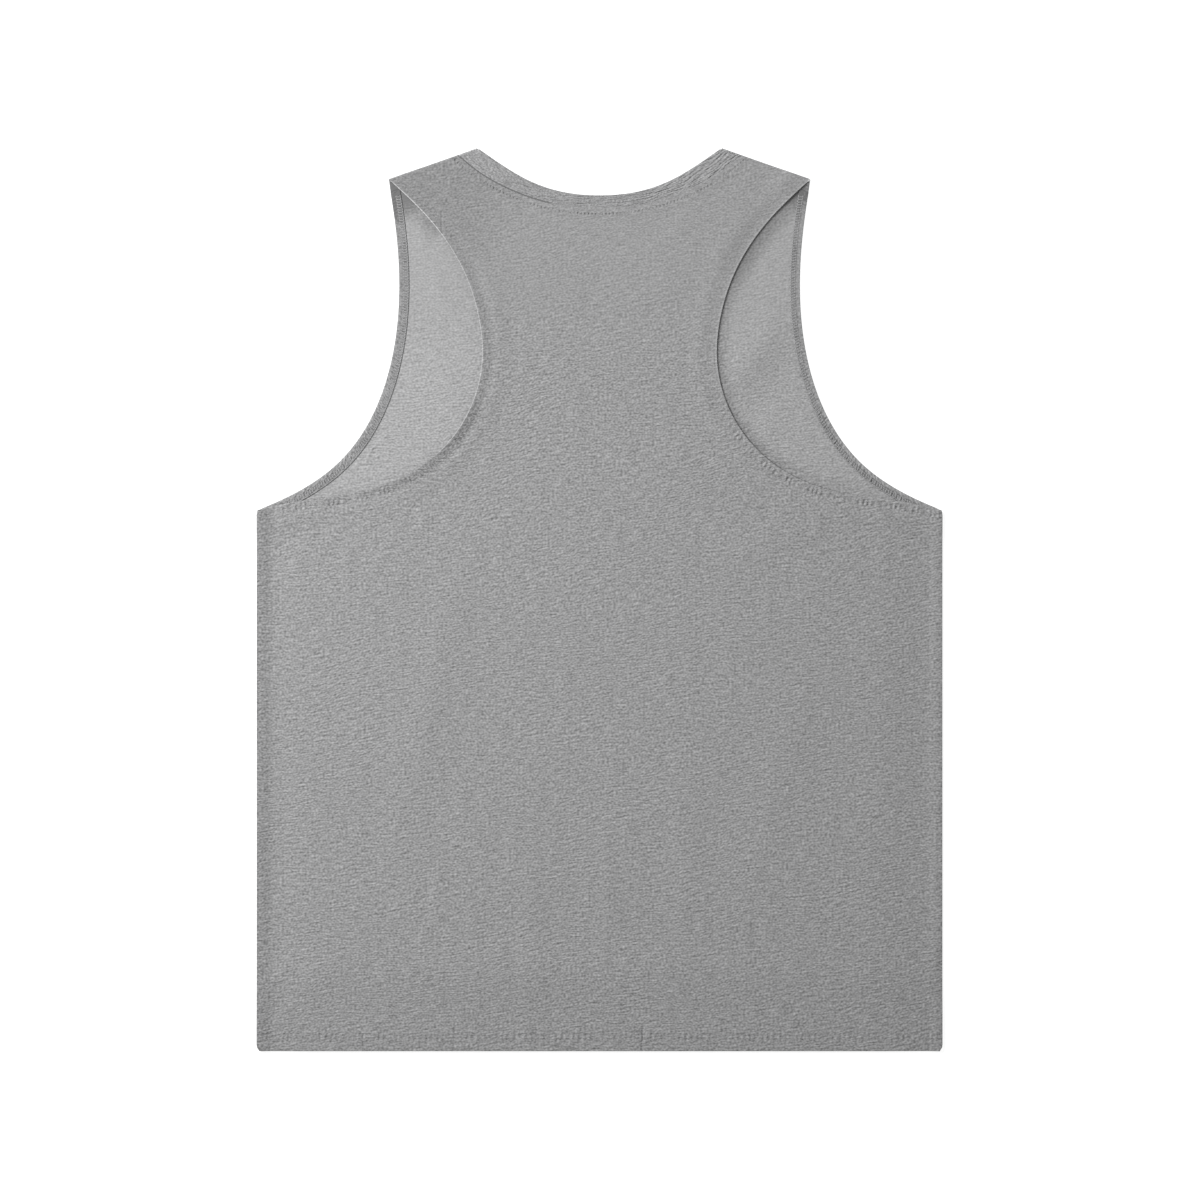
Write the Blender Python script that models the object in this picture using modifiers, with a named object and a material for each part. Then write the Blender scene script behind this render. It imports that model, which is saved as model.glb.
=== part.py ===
"""A racerback tank top in heather jersey, laid flat on its front with its back up.

X runs across the body, Y from the hem to the neck and Z up, in metres. The origin is the centre of the
underside. Each panel is one sheet of cloth that Solidify gives its wall, and each hem is the panel's own
cloth, turned in over itself through a tight fold. The front lies flat on the ground, the back lies on it
and wraps over the shoulder folds, and the neckband is a loop of doubled rib that passes over the same folds.

Plan points are (x, height above the hem); the last step moves them all by half the length, to the origin.
"""

import math
from collections import namedtuple

import bmesh
import bpy
import numpy as np

# Driving sizes of the garment.
CHEST_WIDTH = 0.5588
LENGTH = 0.7355
UNDERARM_HEIGHT = 0.4408
UNDERARM_INSET = 0.001
CORNER_INSET = 0.0025
CORNER_HEIGHT = 0.005
NECK_HALF_WIDTH = 0.0995
SHOULDER_TIP_HALF_WIDTH = 0.1722
SHOULDER_SLOPE = math.radians(19.2)
SHOULDER_WRAP = 0.0105

# Cloth.
JERSEY_WALL = 0.001
RIB_WALL = 0.0016
GAP = 0.0003
LAYER = JERSEY_WALL + GAP
ARMHOLE_HEM = 0.008
BOTTOM_HEM = 0.0145
HEM_EASE = 0.001
ARMHOLE_RAMP = 0.005
BOTTOM_RAMP = 0.011

# The neckband, from the shoulder fold to the middle.
BAND_WIDTH_AT_SHOULDER = 0.0164

Station = namedtuple("Station", "half_width height")

# Edges of the cloth on the right half, each from its outer or upper end to its inner or lower one.
FRONT_ARMHOLE = [
    Station(0.2596, 0.4489),
    Station(0.2107, 0.4815),
    Station(0.1871, 0.5141),
    Station(0.1696, 0.5630),
    Station(0.1634, 0.6282),
    Station(0.1671, 0.6771),
]
BACK_ARMHOLE = [
    Station(0.2490, 0.4472),
    Station(0.1969, 0.4554),
    Station(0.1500, 0.4733),
    Station(0.1115, 0.5124),
    Station(0.0959, 0.5620),
    Station(0.0975, 0.5915),
    Station(0.1133, 0.6404),
    Station(0.1459, 0.6853),
]
BACK_NECK_EDGE = [
    Station(0.0811, 0.7227),
    Station(0.0575, 0.7090),
    Station(0.0310, 0.7000),
    Station(0.0000, 0.6970),
]
BACK_NECK_SEAM = [
    Station(0.1015, 0.7188),
    Station(0.0705, 0.7012),
    Station(0.0375, 0.6905),
    Station(0.0000, 0.6869),
]
FRONT_NECK_EDGE = [
    Station(0.0915, 0.7000),
    Station(0.0700, 0.6600),
    Station(0.0380, 0.6370),
    Station(0.0000, 0.6300),
]
FRONT_NECK_SEAM = [
    Station(0.1060, 0.6960),
    Station(0.0835, 0.6540),
    Station(0.0460, 0.6265),
    Station(0.0000, 0.6180),
]

# The back's largest folds: soft ridges from one plan point to another.
Fold = namedtuple("Fold", "x0 y0 x1 y1 rise spread")
BACK_FOLDS = [
    Fold(-0.112, 0.395, -0.165, 0.170, 0.0011, 0.017),
    Fold(-0.060, 0.210, -0.052, 0.050, 0.0010, 0.013),
    Fold(0.010, 0.200, 0.004, 0.045, 0.0008, 0.013),
    Fold(0.075, 0.230, 0.066, 0.060, 0.0009, 0.014),
    Fold(0.165, 0.300, 0.120, 0.120, 0.0008, 0.018),
    Fold(-0.215, 0.120, -0.130, 0.050, 0.0010, 0.014),
    Fold(-0.205, 0.420, -0.150, 0.375, 0.0008, 0.013),
    Fold(0.190, 0.440, 0.110, 0.400, 0.0009, 0.015),
]
FOLD_END_SHARE = 0.35
FOLD_FADE = 0.03
SIDE_RIDGE = 0.0006

# How finely each sheet is divided: rows up the body, stations along armholes and necks, steps of the folds.
BACK_ROW = 0.023
FRONT_ROW = 0.045
SIDE_COLUMNS = (0.0, 0.004, 0.012, 0.026)
ARMHOLE_PITCH = 0.018
BACK_NECK_COLUMNS = 7
FRONT_NECK_COLUMNS = 9
BACK_STRAP_COLUMNS = 3
FRONT_STRAP_COLUMNS = 3
FOLD_STEPS = 3
SHOULDER_FOLD_STEPS = 4
BAND_EDGE_TURNS = np.radians((90, 45, 0, -45, -90))
TANGENT_REACH = 0.002
WELD = 0.000001

LOOKS = {
    "back": ((0.32, 0.32, 0.325), 0.95),
    "front": ((0.40, 0.40, 0.405), 0.95),
    "neckband": ((0.34, 0.34, 0.345), 0.92),
}

ALONG_SHOULDER = np.array((math.cos(SHOULDER_SLOPE), -math.sin(SHOULDER_SLOPE)))
DOWN_FROM_SHOULDER = np.array((-math.sin(SHOULDER_SLOPE), -math.cos(SHOULDER_SLOPE)))
NECK_POINT = np.array((NECK_HALF_WIDTH, LENGTH))
HALF_CHEST = CHEST_WIDTH / 2


def on_shoulder(half_width):
    """The plan point of the straight shoulder fold at this distance from the middle."""
    return NECK_POINT + ALONG_SHOULDER * (half_width - NECK_HALF_WIDTH) / ALONG_SHOULDER[0]


TIP = on_shoulder(SHOULDER_TIP_HALF_WIDTH)
SEAM_TOP = NECK_POINT + ALONG_SHOULDER * BAND_WIDTH_AT_SHOULDER
UNDERARM = np.array((HALF_CHEST - UNDERARM_INSET, UNDERARM_HEIGHT))

UP = np.array((0.0, 0.0, 1.0))
DOWN = -UP
TOWARD_HEM = np.array((0.0, -1.0, 0.0))

# The middle of the layer on the ground, and how far inside the outline a fold starts to turn.
LOWER_MIDDLE = JERSEY_WALL / 2
FOLD_INSET = JERSEY_WALL / 2 + LAYER / 2
# The back's hems, inward from the outline: the foot of the ramp, its head over the raw edge, and the
# start of the fold, and how far each is lifted above the turned-in layer's level.
STRIP_DEPTHS = np.array((ARMHOLE_HEM + ARMHOLE_RAMP, ARMHOLE_HEM + HEM_EASE, FOLD_INSET))
STRIP_LIFTS = np.array((0.0, LAYER, LAYER))
HEM_ROWS = (BOTTOM_HEM + BOTTOM_RAMP, BOTTOM_HEM + HEM_EASE, FOLD_INSET)
# The stations at which the armholes turn from running across to running up.
FRONT_TURN = 1
BACK_TURN = 2


def fair_curve(stations, count=801):
    """A natural cubic spline through the stations, as closely spaced plan points."""
    knots = np.array([tuple(station) for station in stations])
    at_knot = np.concatenate([[0.0], np.cumsum(np.linalg.norm(np.diff(knots, axis=0), axis=1))])
    step = np.diff(at_knot)
    slope = np.diff(knots, axis=0) / step[:, None]
    system = np.eye(len(knots))
    inner = np.arange(1, len(knots) - 1)
    system[inner, inner - 1] = step[:-1]
    system[inner, inner] = 2 * (step[:-1] + step[1:])
    system[inner, inner + 1] = step[1:]
    load = np.zeros_like(knots)
    load[inner] = 6 * np.diff(slope, axis=0)
    bend = np.linalg.solve(system, load)

    along = np.linspace(0.0, at_knot[-1], count)
    span = np.clip(np.searchsorted(at_knot, along, side="right") - 1, 0, len(step) - 1)
    size = step[span][:, None]
    after = (along - at_knot[span])[:, None] / size
    before = 1 - after
    straight = before * knots[span] + after * knots[span + 1]
    sag = (before**3 - before) * bend[span] + (after**3 - after) * bend[span + 1]
    return straight + sag * size**2 / 6


def half_neckline(start, stations):
    """The right half of a symmetrical neckline, from its outer end at start to the middle."""
    half = [tuple(start), *stations]
    other = [(-half_width, height) for half_width, height in half[-2::-1]]
    curve = fair_curve(half + other)
    return curve[: len(curve) // 2 + 1]


def lengths_of(curve):
    """The distance along the curve at each of its points."""
    return np.concatenate([[0.0], np.cumsum(np.linalg.norm(np.diff(curve, axis=0), axis=1))])


def at(curve, lengths):
    """The curve's plan points at these distances along it."""
    own = lengths_of(curve)
    return np.stack([np.interp(lengths, own, curve[:, axis]) for axis in (0, 1)], axis=1)


def evenly(curve, count):
    """Plan points that divide the curve into this many equal steps."""
    return at(curve, np.linspace(0.0, lengths_of(curve)[-1], count + 1))


def line(start, end, count):
    """Plan points that divide a straight line into this many equal steps."""
    share = np.linspace(0.0, 1.0, count + 1)[:, None]
    return (1 - share) * np.asarray(start) + share * np.asarray(end)


def depth_below_shoulder(points):
    """How far plan points lie from the shoulder fold, square to it."""
    return (points - NECK_POINT) @ DOWN_FROM_SHOULDER


def length_at_depth(curve, depth):
    """The distance along the curve where it lies this deep below the shoulder fold."""
    depths = depth_below_shoulder(curve)
    order = np.argsort(depths)
    return float(np.interp(depth, depths[order], lengths_of(curve)[order]))


def nearest_length(curve, station):
    """The distance along the curve of its point nearest to the station."""
    return float(lengths_of(curve)[np.linalg.norm(curve - station, axis=1).argmin()])


def inward_of(curve, lengths, last_direction):
    """Directions into the cloth along an armhole, square to it, but along the side seam at the underarm
    and along last_direction at the other end, each long enough that the hem keeps its depth."""
    before = at(curve, np.maximum(lengths - TANGENT_REACH, 0.0))
    after = at(curve, np.minimum(lengths + TANGENT_REACH, lengths_of(curve)[-1]))
    ahead = (after - before) / np.linalg.norm(after - before, axis=1)[:, None]
    inward = np.stack([-ahead[:, 1], ahead[:, 0]], axis=1)
    down_seam = np.array((0.0, -1.0))
    inward[0] = down_seam / (inward[0] @ down_seam)
    inward[-1] = last_direction / (inward[-1] @ last_direction)
    return inward


def inside(outline, inward, depth):
    """The outline's points moved into the cloth by the depth, the first one along the side seam."""
    points = outline + inward * depth
    points[0, 0] = side_width(points[0, 1])
    return points


def smooth_step(value):
    """0 below 0, 1 above 1, and a soft rise between."""
    clipped = np.clip(value, 0.0, 1.0)
    return clipped * clipped * (3 - 2 * clipped)


def near(distance, full, gone):
    """1 within the distance full, 0 past the distance gone."""
    return 1 - smooth_step((distance - full) / (gone - full))


def distance_to(points, curve):
    """The plan distance from each point to the closely spaced points of a curve."""
    return np.linalg.norm(points[:, None, :] - curve[None, :, :], axis=2).min(axis=1)


def patch(bottom, top, left, right):
    """Plan points of a four-sided sheet between its edges, as a Coons patch: [row up, column out]."""
    across_bottom, across_top, up_left, up_right = (
        lengths_of(edge) / lengths_of(edge)[-1] for edge in (bottom, top, left, right)
    )
    v = up_left[:, None]
    u = (1 - v) * across_bottom + v * across_top
    v = (1 - u) * up_left[:, None] + u * up_right[:, None]
    u, v = u[..., None], v[..., None]
    between_rows = (1 - v) * bottom[None] + v * top[None]
    between_columns = (1 - u) * left[:, None] + u * right[:, None]
    corners = (1 - v) * ((1 - u) * bottom[0] + u * bottom[-1]) + v * ((1 - u) * top[0] + u * top[-1])
    return between_rows + between_columns - corners


def spatial(plan, height, side):
    """Points in space over plan points of the right half, on the right (side 1) or the left (side -1)."""
    plan = np.asarray(plan, float)
    height = np.broadcast_to(height, plan.shape[:-1])
    return np.stack([side * plan[..., 0], plan[..., 1], height], axis=-1)


def turned_hem(edge, outward, into, raw_edge):
    """The sheet's points from its edge round a tight fold to the hem's raw edge, one column for each
    step."""
    centre = edge + into * LAYER / 2
    angles = np.linspace(0.0, math.pi, FOLD_STEPS + 1)
    fold = [centre + LAYER / 2 * (math.sin(a) * outward - math.cos(a) * into) for a in angles]
    return np.stack([*fold, raw_edge], axis=1)


def side_width(height):
    """Half the garment's width at a height, with its rounded hem corner and underarm corner."""
    at_hem = np.clip(1 - height / CORNER_HEIGHT, 0.0, 1.0)
    at_underarm = np.clip(1 - (UNDERARM_HEIGHT - height) / CORNER_HEIGHT, 0.0, 1.0)
    return HALF_CHEST - CORNER_INSET * at_hem**2 - UNDERARM_INSET * at_underarm**2


# The cloth's edges, worked out once.
FRONT_ARMHOLE_CURVE = fair_curve([UNDERARM, *FRONT_ARMHOLE, TIP])
BACK_ARMHOLE_CURVE = fair_curve([UNDERARM, *BACK_ARMHOLE, TIP])
BACK_EDGE_CURVE = half_neckline(NECK_POINT, BACK_NECK_EDGE)
BACK_SEAM_CURVE = half_neckline(SEAM_TOP, BACK_NECK_SEAM)
FRONT_EDGE_CURVE = half_neckline(NECK_POINT, FRONT_NECK_EDGE)
FRONT_SEAM_CURVE = half_neckline(SEAM_TOP, FRONT_NECK_SEAM)
FRONT_BAND_MIDDLE = (evenly(FRONT_EDGE_CURVE, 60) + evenly(FRONT_SEAM_CURVE, 60)) / 2


def fold_relief(points):
    """The rise of the back's soft folds at points (x, height above the hem) of the whole garment."""
    rise = np.zeros(len(points))
    for fold in BACK_FOLDS:
        start = np.array((fold.x0, fold.y0))
        run = np.array((fold.x1, fold.y1)) - start
        share = np.clip((points - start) @ run / (run @ run), 0.0, 1.0)
        away = np.linalg.norm(points - start - share[:, None] * run, axis=1)
        swell = FOLD_END_SHARE + (1 - FOLD_END_SHARE) * np.sin(math.pi * share)
        rise += fold.rise * swell * np.exp(-((away / fold.spread) ** 2))
    return rise


def back_level(plan, side):
    """The height of the middle of the back's lowest layer: it lies on the front, on the front's hems
    and on the front half of the neckband, and it has soft folds and a ridge over each side seam."""
    shape = plan.shape[:-1]
    points = plan.reshape(-1, 2)
    height = points[:, 1]
    level = np.full(len(points), LAYER + JERSEY_WALL / 2)
    level += LAYER * near(distance_to(points, FRONT_ARMHOLE_CURVE), 2 * ARMHOLE_HEM, 4 * ARMHOLE_HEM)
    level += LAYER * near(height, BOTTOM_HEM + HEM_EASE, BOTTOM_HEM + BOTTOM_RAMP)
    to_band = distance_to(points, FRONT_BAND_MIDDLE)
    level += (RIB_WALL - JERSEY_WALL) * near(to_band, BAND_WIDTH_AT_SHOULDER, 2 * BAND_WIDTH_AT_SHOULDER)
    from_side = HALF_CHEST - points[:, 0]
    level += SIDE_RIDGE * np.sin(math.pi * np.clip(from_side / (2 * SIDE_COLUMNS[1]), 0.0, 1.0)) ** 2
    clear = np.minimum(np.minimum(height - BOTTOM_HEM, UNDERARM_HEIGHT + FOLD_FADE - height), from_side)
    level += fold_relief(points * (side, 1.0)) * smooth_step(clear / FOLD_FADE)
    return level.reshape(shape)


def over_shoulder(crossing, top, bottom, wall):
    """Rows of points round the shoulder fold, from the top layer down to the bottom one. The outer side
    of the wall reaches the fold's line at each crossing. Also the directions into the fold."""
    radius = (np.asarray(top) - bottom)[None, :, None] / 2
    turn = np.linspace(math.pi / 2, -math.pi / 2, SHOULDER_FOLD_STEPS + 1)[:, None, None]
    plan = crossing[None] + DOWN_FROM_SHOULDER * (wall / 2 + radius * (1 - np.cos(turn)))
    height = bottom + radius[..., 0] * (1 + np.sin(turn[..., 0]))
    into_plan = DOWN_FROM_SHOULDER * np.cos(turn) * np.ones_like(radius)
    into_height = -np.sin(turn[..., 0]) * np.ones_like(radius[..., 0])
    return plan, height, into_plan, into_height


def graded(first_steps, total, pitch):
    """Distances from 0 to total: the first few given, then equal steps of about the pitch."""
    rest = total - first_steps[-1]
    count = max(1, round(rest / pitch))
    return np.concatenate([first_steps, first_steps[-1] + np.linspace(0.0, rest, count + 1)[1:]])


def armhole_stations(curve, turn_station, first_steps, end):
    """The armhole's stations up to the length end: their plan points, their directions into the cloth,
    and the number of the one where the armhole turns up."""
    turn_length = nearest_length(curve, turn_station)
    under = graded(first_steps, turn_length, ARMHOLE_PITCH)
    above = graded((turn_length,), end, ARMHOLE_PITCH)
    lengths = np.concatenate([under, above[1:]])
    return at(curve, lengths), inward_of(curve, lengths, -ALONG_SHOULDER), len(under) - 1


def body_columns(armhole, turn, inner_count):
    """How far out each column of the body stands: even ones below the neck, then one below each station
    of the armhole, out to the side seam."""
    inner = np.linspace(0.0, armhole[turn, 0], inner_count + 1)
    return np.concatenate([inner, armhole[turn - 1 : 0 : -1, 0], [HALF_CHEST]])


def hem_row(columns, height):
    """A plan row of the bottom hem, drawn in where the hem's corner is rounded."""
    return np.stack([columns * side_width(height) / HALF_CHEST, np.full(len(columns), height)], axis=1)


def bottom_hem(columns, rows, lifts, level, into, side):
    """The strip that runs from a panel's first row down through the other rows, each lifted above the
    level of the layer below, round the fold and up to the raw edge: [column, step]."""
    sheet = []
    for height, lift in zip(rows, lifts):
        plan = hem_row(columns, height)
        sheet.append(spatial(plan, level(plan) + lift, side))
    raw = hem_row(columns, BOTTOM_HEM)
    raw_edge = spatial(raw, level(raw) + lifts[-1] + LAYER * into[2], side)
    fold = turned_hem(sheet[-1], TOWARD_HEM, into, raw_edge)
    return np.concatenate([*(row[:, None] for row in sheet[:-1]), fold], axis=1)


def panel_patches(bottom, armhole, turn, top, level, side, row):
    """A panel's two patches on one side: the body, whose outer columns end at the armhole, and the part
    above the armhole's turn. Each is [row up, column out], as points in space."""
    corner = armhole[turn]
    middle = line((0.0, corner[1]), corner, len(top) - 1)
    count = round((corner[1] - bottom[0, 1]) / row)
    seam_heights = np.linspace(bottom[0, 1], armhole[0, 1], count + 1)
    seam = np.stack([side_width(seam_heights), seam_heights], axis=1)
    centre_line = line(bottom[0], middle[0], count)
    body = patch(bottom, np.concatenate([middle, armhole[:turn][::-1]]), centre_line, seam)
    upper = patch(middle, top, line(middle[0], top[0], len(armhole) - 1 - turn), armhole[turn:])
    return [spatial(plan, level(plan), side) for plan in (body, upper)]


def shoulder_seam(depth):
    """The plan points where a seam this deep below the shoulder fold meets the front neck seam and the
    armhole."""
    neck = at(FRONT_SEAM_CURVE, [length_at_depth(FRONT_SEAM_CURVE, depth)])[0]
    arm = at(FRONT_ARMHOLE_CURVE, [length_at_depth(FRONT_ARMHOLE_CURVE, depth)])[0]
    return neck, arm


def back_armhole_strip(outline, inward, side):
    """The back's armhole hem on one side, from the underarm over the shoulder to its seam: [station,
    step]. The steps are the foot of the ramp, its head over the raw edge, the start of the fold, the
    fold and the raw edge."""
    flat = np.stack([inside(outline[:-1], inward[:-1], depth) for depth in STRIP_DEPTHS], axis=1)
    flat_raw = inside(outline[:-1], inward[:-1], ARMHOLE_HEM)
    flat_level = back_level(flat, side) + STRIP_LIFTS

    crossing = TIP + inward[-1] * STRIP_DEPTHS[:, None]
    tip_level = back_level(crossing[[0, 2, 2]], side) + STRIP_LIFTS
    plan, height, into_plan, into_height = over_shoulder(crossing, tip_level, LOWER_MIDDLE, JERSEY_WALL)
    raw_crossing = TIP + inward[-1:] * ARMHOLE_HEM
    raw_plan, raw_height, _, _ = over_shoulder(
        raw_crossing, tip_level[2:] - LAYER, LOWER_MIDDLE + LAYER, JERSEY_WALL + 2 * LAYER
    )
    seam_end = shoulder_seam(SHOULDER_WRAP)[1]
    seam = seam_end + inward[-1] * STRIP_DEPTHS[:, None]
    seam_raw = seam_end + inward[-1] * ARMHOLE_HEM

    sheet = np.concatenate(
        [
            spatial(flat, flat_level, side),
            spatial(plan, height, side),
            spatial(seam[None], LOWER_MIDDLE, side),
        ]
    )
    raw_edge = np.concatenate(
        [
            spatial(flat_raw, back_level(flat_raw, side), side),
            spatial(raw_plan[:, 0], raw_height[:, 0], side),
            spatial(seam_raw[None], LOWER_MIDDLE + LAYER, side),
        ]
    )
    outward = np.concatenate([-inward[:-1], np.tile(ALONG_SHOULDER, (len(sheet) - len(flat), 1))])
    outward = spatial(outward / np.linalg.norm(outward, axis=1)[:, None], 0.0, side)
    into = np.concatenate(
        [np.tile(DOWN, (len(flat), 1)), spatial(into_plan[:, 2], into_height[:, 2], side), [UP]]
    )
    return np.concatenate([sheet[:, :2], turned_hem(sheet[:, 2], outward, into, raw_edge)], axis=1)


def back_strap(last_crossing, last_seam, last_level, side):
    """The back between its neck seam and its armhole strip, over the shoulder and down to its seam: its
    plan points where it starts to turn over, and [row, column] in space."""
    crossing = line(SEAM_TOP, last_crossing, BACK_STRAP_COLUMNS)
    level = back_level(crossing, side)
    level[-1] = last_level
    plan, height, _, _ = over_shoulder(crossing, level, LOWER_MIDDLE, JERSEY_WALL)
    seam = line(shoulder_seam(SHOULDER_WRAP)[0], last_seam, BACK_STRAP_COLUMNS)
    rows = np.concatenate([spatial(plan, height, side), spatial(seam[None], LOWER_MIDDLE, side)])
    return plan[0], rows


def back_half(side):
    """The back's grids on one side, with its hems and its shoulder's wrap onto the front side."""

    def level(plan):
        return back_level(plan, side)

    end = lengths_of(BACK_ARMHOLE_CURVE)[-1]
    outline, inward, turn = armhole_stations(BACK_ARMHOLE_CURVE, BACK_ARMHOLE[BACK_TURN], SIDE_COLUMNS, end)
    strip = back_armhole_strip(outline, inward, side)
    foot = inward[-1] * STRIP_DEPTHS[0]
    strap_level = level((TIP + foot)[None])
    strap_top, strap = back_strap(TIP + foot, shoulder_seam(SHOULDER_WRAP)[1] + foot, strap_level, side)

    neck = evenly(BACK_SEAM_CURVE, BACK_NECK_COLUMNS)[::-1]
    top = np.concatenate([neck[:-1], strap_top])
    armhole = np.concatenate([inside(outline[:-1], inward[:-1], STRIP_DEPTHS[0]), strap_top[-1:]])
    columns = body_columns(armhole, turn, len(top) - 1)
    body, upper = panel_patches(hem_row(columns, HEM_ROWS[0]), armhole, turn, top, level, side, BACK_ROW)
    upper[-1, BACK_NECK_COLUMNS:] = strap[0]
    hem = bottom_hem(columns, HEM_ROWS, STRIP_LIFTS, level, DOWN, side)
    return [body, upper, strip, strap, hem]


def front_half(side):
    """The front's grids on one side: its outer layer lies flat on the ground and its hems lie on it."""

    def level(plan):
        return np.full(plan.shape[:-1], LOWER_MIDDLE)

    seam_neck, seam_arm = shoulder_seam(SHOULDER_WRAP + GAP)
    end = nearest_length(FRONT_ARMHOLE_CURVE, seam_arm)
    outline, inward, turn = armhole_stations(FRONT_ARMHOLE_CURVE, FRONT_ARMHOLE[FRONT_TURN], (0.0,), end)
    edge = inside(outline, inward, FOLD_INSET)
    raw_edge = spatial(inside(outline, inward, ARMHOLE_HEM), LOWER_MIDDLE + LAYER, side)
    outward = spatial(-inward / np.linalg.norm(inward, axis=1)[:, None], 0.0, side)
    strip = turned_hem(spatial(edge, LOWER_MIDDLE, side), outward, UP, raw_edge)

    shoulder = line(seam_neck, edge[-1], FRONT_STRAP_COLUMNS)
    top = np.concatenate([front_neck_stations()[:-1], shoulder])
    columns = body_columns(edge, turn, len(top) - 1)
    body, upper = panel_patches(hem_row(columns, FOLD_INSET), edge, turn, top, level, side, FRONT_ROW)
    hem = bottom_hem(columns, (FOLD_INSET,), (0.0,), level, UP, side)
    return [body, upper, strip, hem]


def front_neck_stations():
    """The front neck seam's plan points from the middle to the shoulder seam."""
    start = length_at_depth(FRONT_SEAM_CURVE, SHOULDER_WRAP + GAP)
    lengths = np.linspace(lengths_of(FRONT_SEAM_CURVE)[-1], start, FRONT_NECK_COLUMNS + 1)
    return at(FRONT_SEAM_CURVE, lengths)


def toward_neck(seam, edge):
    """The seam's points moved by the gap toward the neck edge's points."""
    across = edge - seam
    return seam + GAP * across / np.linalg.norm(across, axis=1)[:, None]


def band_half(side):
    """The neckband on one side, from the middle of the back over the shoulder to the middle of the
    front: points along its seam and along its folded edge, and the direction of its upper side."""
    rise = (RIB_WALL - JERSEY_WALL) / 2
    back_seam = evenly(BACK_SEAM_CURVE, BACK_NECK_COLUMNS)[::-1][:-1]
    back_edge = evenly(BACK_EDGE_CURVE, BACK_NECK_COLUMNS)[::-1][:-1]
    back_height = back_level(back_seam, side) + rise
    front_seam = front_neck_stations()[::-1]
    start = length_at_depth(FRONT_EDGE_CURVE, SHOULDER_WRAP + GAP)
    front_edge = at(FRONT_EDGE_CURVE, np.linspace(start, lengths_of(FRONT_EDGE_CURVE)[-1], len(front_seam)))

    crossing = np.stack([SEAM_TOP - ALONG_SHOULDER * GAP, NECK_POINT])
    top = back_level(SEAM_TOP[None], side) + rise
    plan, height, into_plan, into_height = over_shoulder(
        crossing, np.repeat(top, 2), RIB_WALL / 2, RIB_WALL
    )
    seam = np.concatenate(
        [
            spatial(toward_neck(back_seam, back_edge), back_height, side),
            spatial(plan[:, 0], height[:, 0], side),
            spatial(toward_neck(front_seam, front_edge), RIB_WALL / 2, side),
        ]
    )
    edge = np.concatenate(
        [
            spatial(back_edge, back_height, side),
            spatial(plan[:, 1], height[:, 1], side),
            spatial(front_edge, RIB_WALL / 2, side),
        ]
    )
    upper = np.concatenate(
        [
            np.tile((0.0, 0.0, 1.0), (len(back_seam), 1)),
            -spatial(into_plan[:, 0], into_height[:, 0], side),
            np.tile((0.0, 0.0, -1.0), (len(front_seam), 1)),
        ]
    )
    return seam, edge, upper


def neckband_rings():
    """The closed loop of the neckband's rounded sections: [section, point round it]."""
    right, left = band_half(1), band_half(-1)
    seam, edge, upper = (
        np.concatenate([one, other[-2:0:-1]]) for one, other in zip(right, left)
    )
    width = np.linalg.norm(edge - seam, axis=1)[:, None]
    across = (edge - seam) / width
    half = RIB_WALL / 2
    rounded = [
        edge - across * half + half * (math.cos(a) * across + math.sin(a) * upper) for a in BAND_EDGE_TURNS
    ]
    return np.stack([seam + upper * half, *rounded, seam - upper * half], axis=1)


def quads_of(rows, columns, start, closed):
    """The faces of one grid of points, whose first point has this index. A closed grid joins round both
    ways."""
    index = start + np.arange(rows * columns).reshape(rows, columns)
    if closed:
        index = np.pad(index, ((0, 1), (0, 1)), mode="wrap")
    return np.stack([index[:-1, :-1], index[:-1, 1:], index[1:, 1:], index[1:, :-1]], axis=-1).reshape(-1, 4)


def cloth(name, grids, closed=False):
    """One object from grids of points, welded where they share an edge."""
    points, faces, start = [], [], 0
    for grid in grids:
        rows, columns = grid.shape[:2]
        points.append(grid.reshape(-1, 3) - (0.0, LENGTH / 2, 0.0))
        faces.append(quads_of(rows, columns, start, closed))
        start += rows * columns
    mesh = bpy.data.meshes.new(name)
    mesh.from_pydata(np.concatenate(points), [], np.concatenate(faces).tolist())
    work = bmesh.new()
    work.from_mesh(mesh)
    bmesh.ops.remove_doubles(work, verts=work.verts, dist=WELD)
    bmesh.ops.recalc_face_normals(work, faces=work.faces)
    work.to_mesh(mesh)
    work.free()
    mesh.shade_smooth()
    return bpy.data.objects.new(name, mesh)


def give_wall(sheet):
    """The jersey's thickness, half on each side of the sheet."""
    wall = sheet.modifiers.new("wall", "SOLIDIFY")
    wall.thickness = JERSEY_WALL
    wall.offset = 0.0
    wall.use_even_offset = True


def give_look(piece):
    """A plain material in the piece's own colour."""
    colour, roughness = LOOKS[piece.name]
    material = bpy.data.materials.new(piece.name)
    material.use_nodes = True
    shader = material.node_tree.nodes["Principled BSDF"]
    shader.inputs["Base Color"].default_value = (*colour, 1.0)
    shader.inputs["Roughness"].default_value = roughness
    shader.inputs["Metallic"].default_value = 0.0
    piece.data.materials.append(material)


def main():
    for leftover in list(bpy.data.objects):
        bpy.data.objects.remove(leftover)
    collection = bpy.data.collections.new("tank_top")
    bpy.context.scene.collection.children.link(collection)

    front = cloth("front", front_half(1) + front_half(-1))
    back = cloth("back", back_half(1) + back_half(-1))
    neckband = cloth("neckband", [neckband_rings()], closed=True)
    for panel in (front, back):
        give_wall(panel)
    for piece in (front, back, neckband):
        give_look(piece)
        collection.objects.link(piece)


main()
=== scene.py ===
"""A racerback tank top in heather jersey, laid flat on its front with its back up.

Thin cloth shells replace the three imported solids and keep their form: both panels with their turned
hems, and the folded rib neckband. The sewing lies on them as threads. Plan points are (x, height above the
hem) in metres: X runs across the body and Y from hem to neck.
"""

import math
from collections import namedtuple

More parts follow.
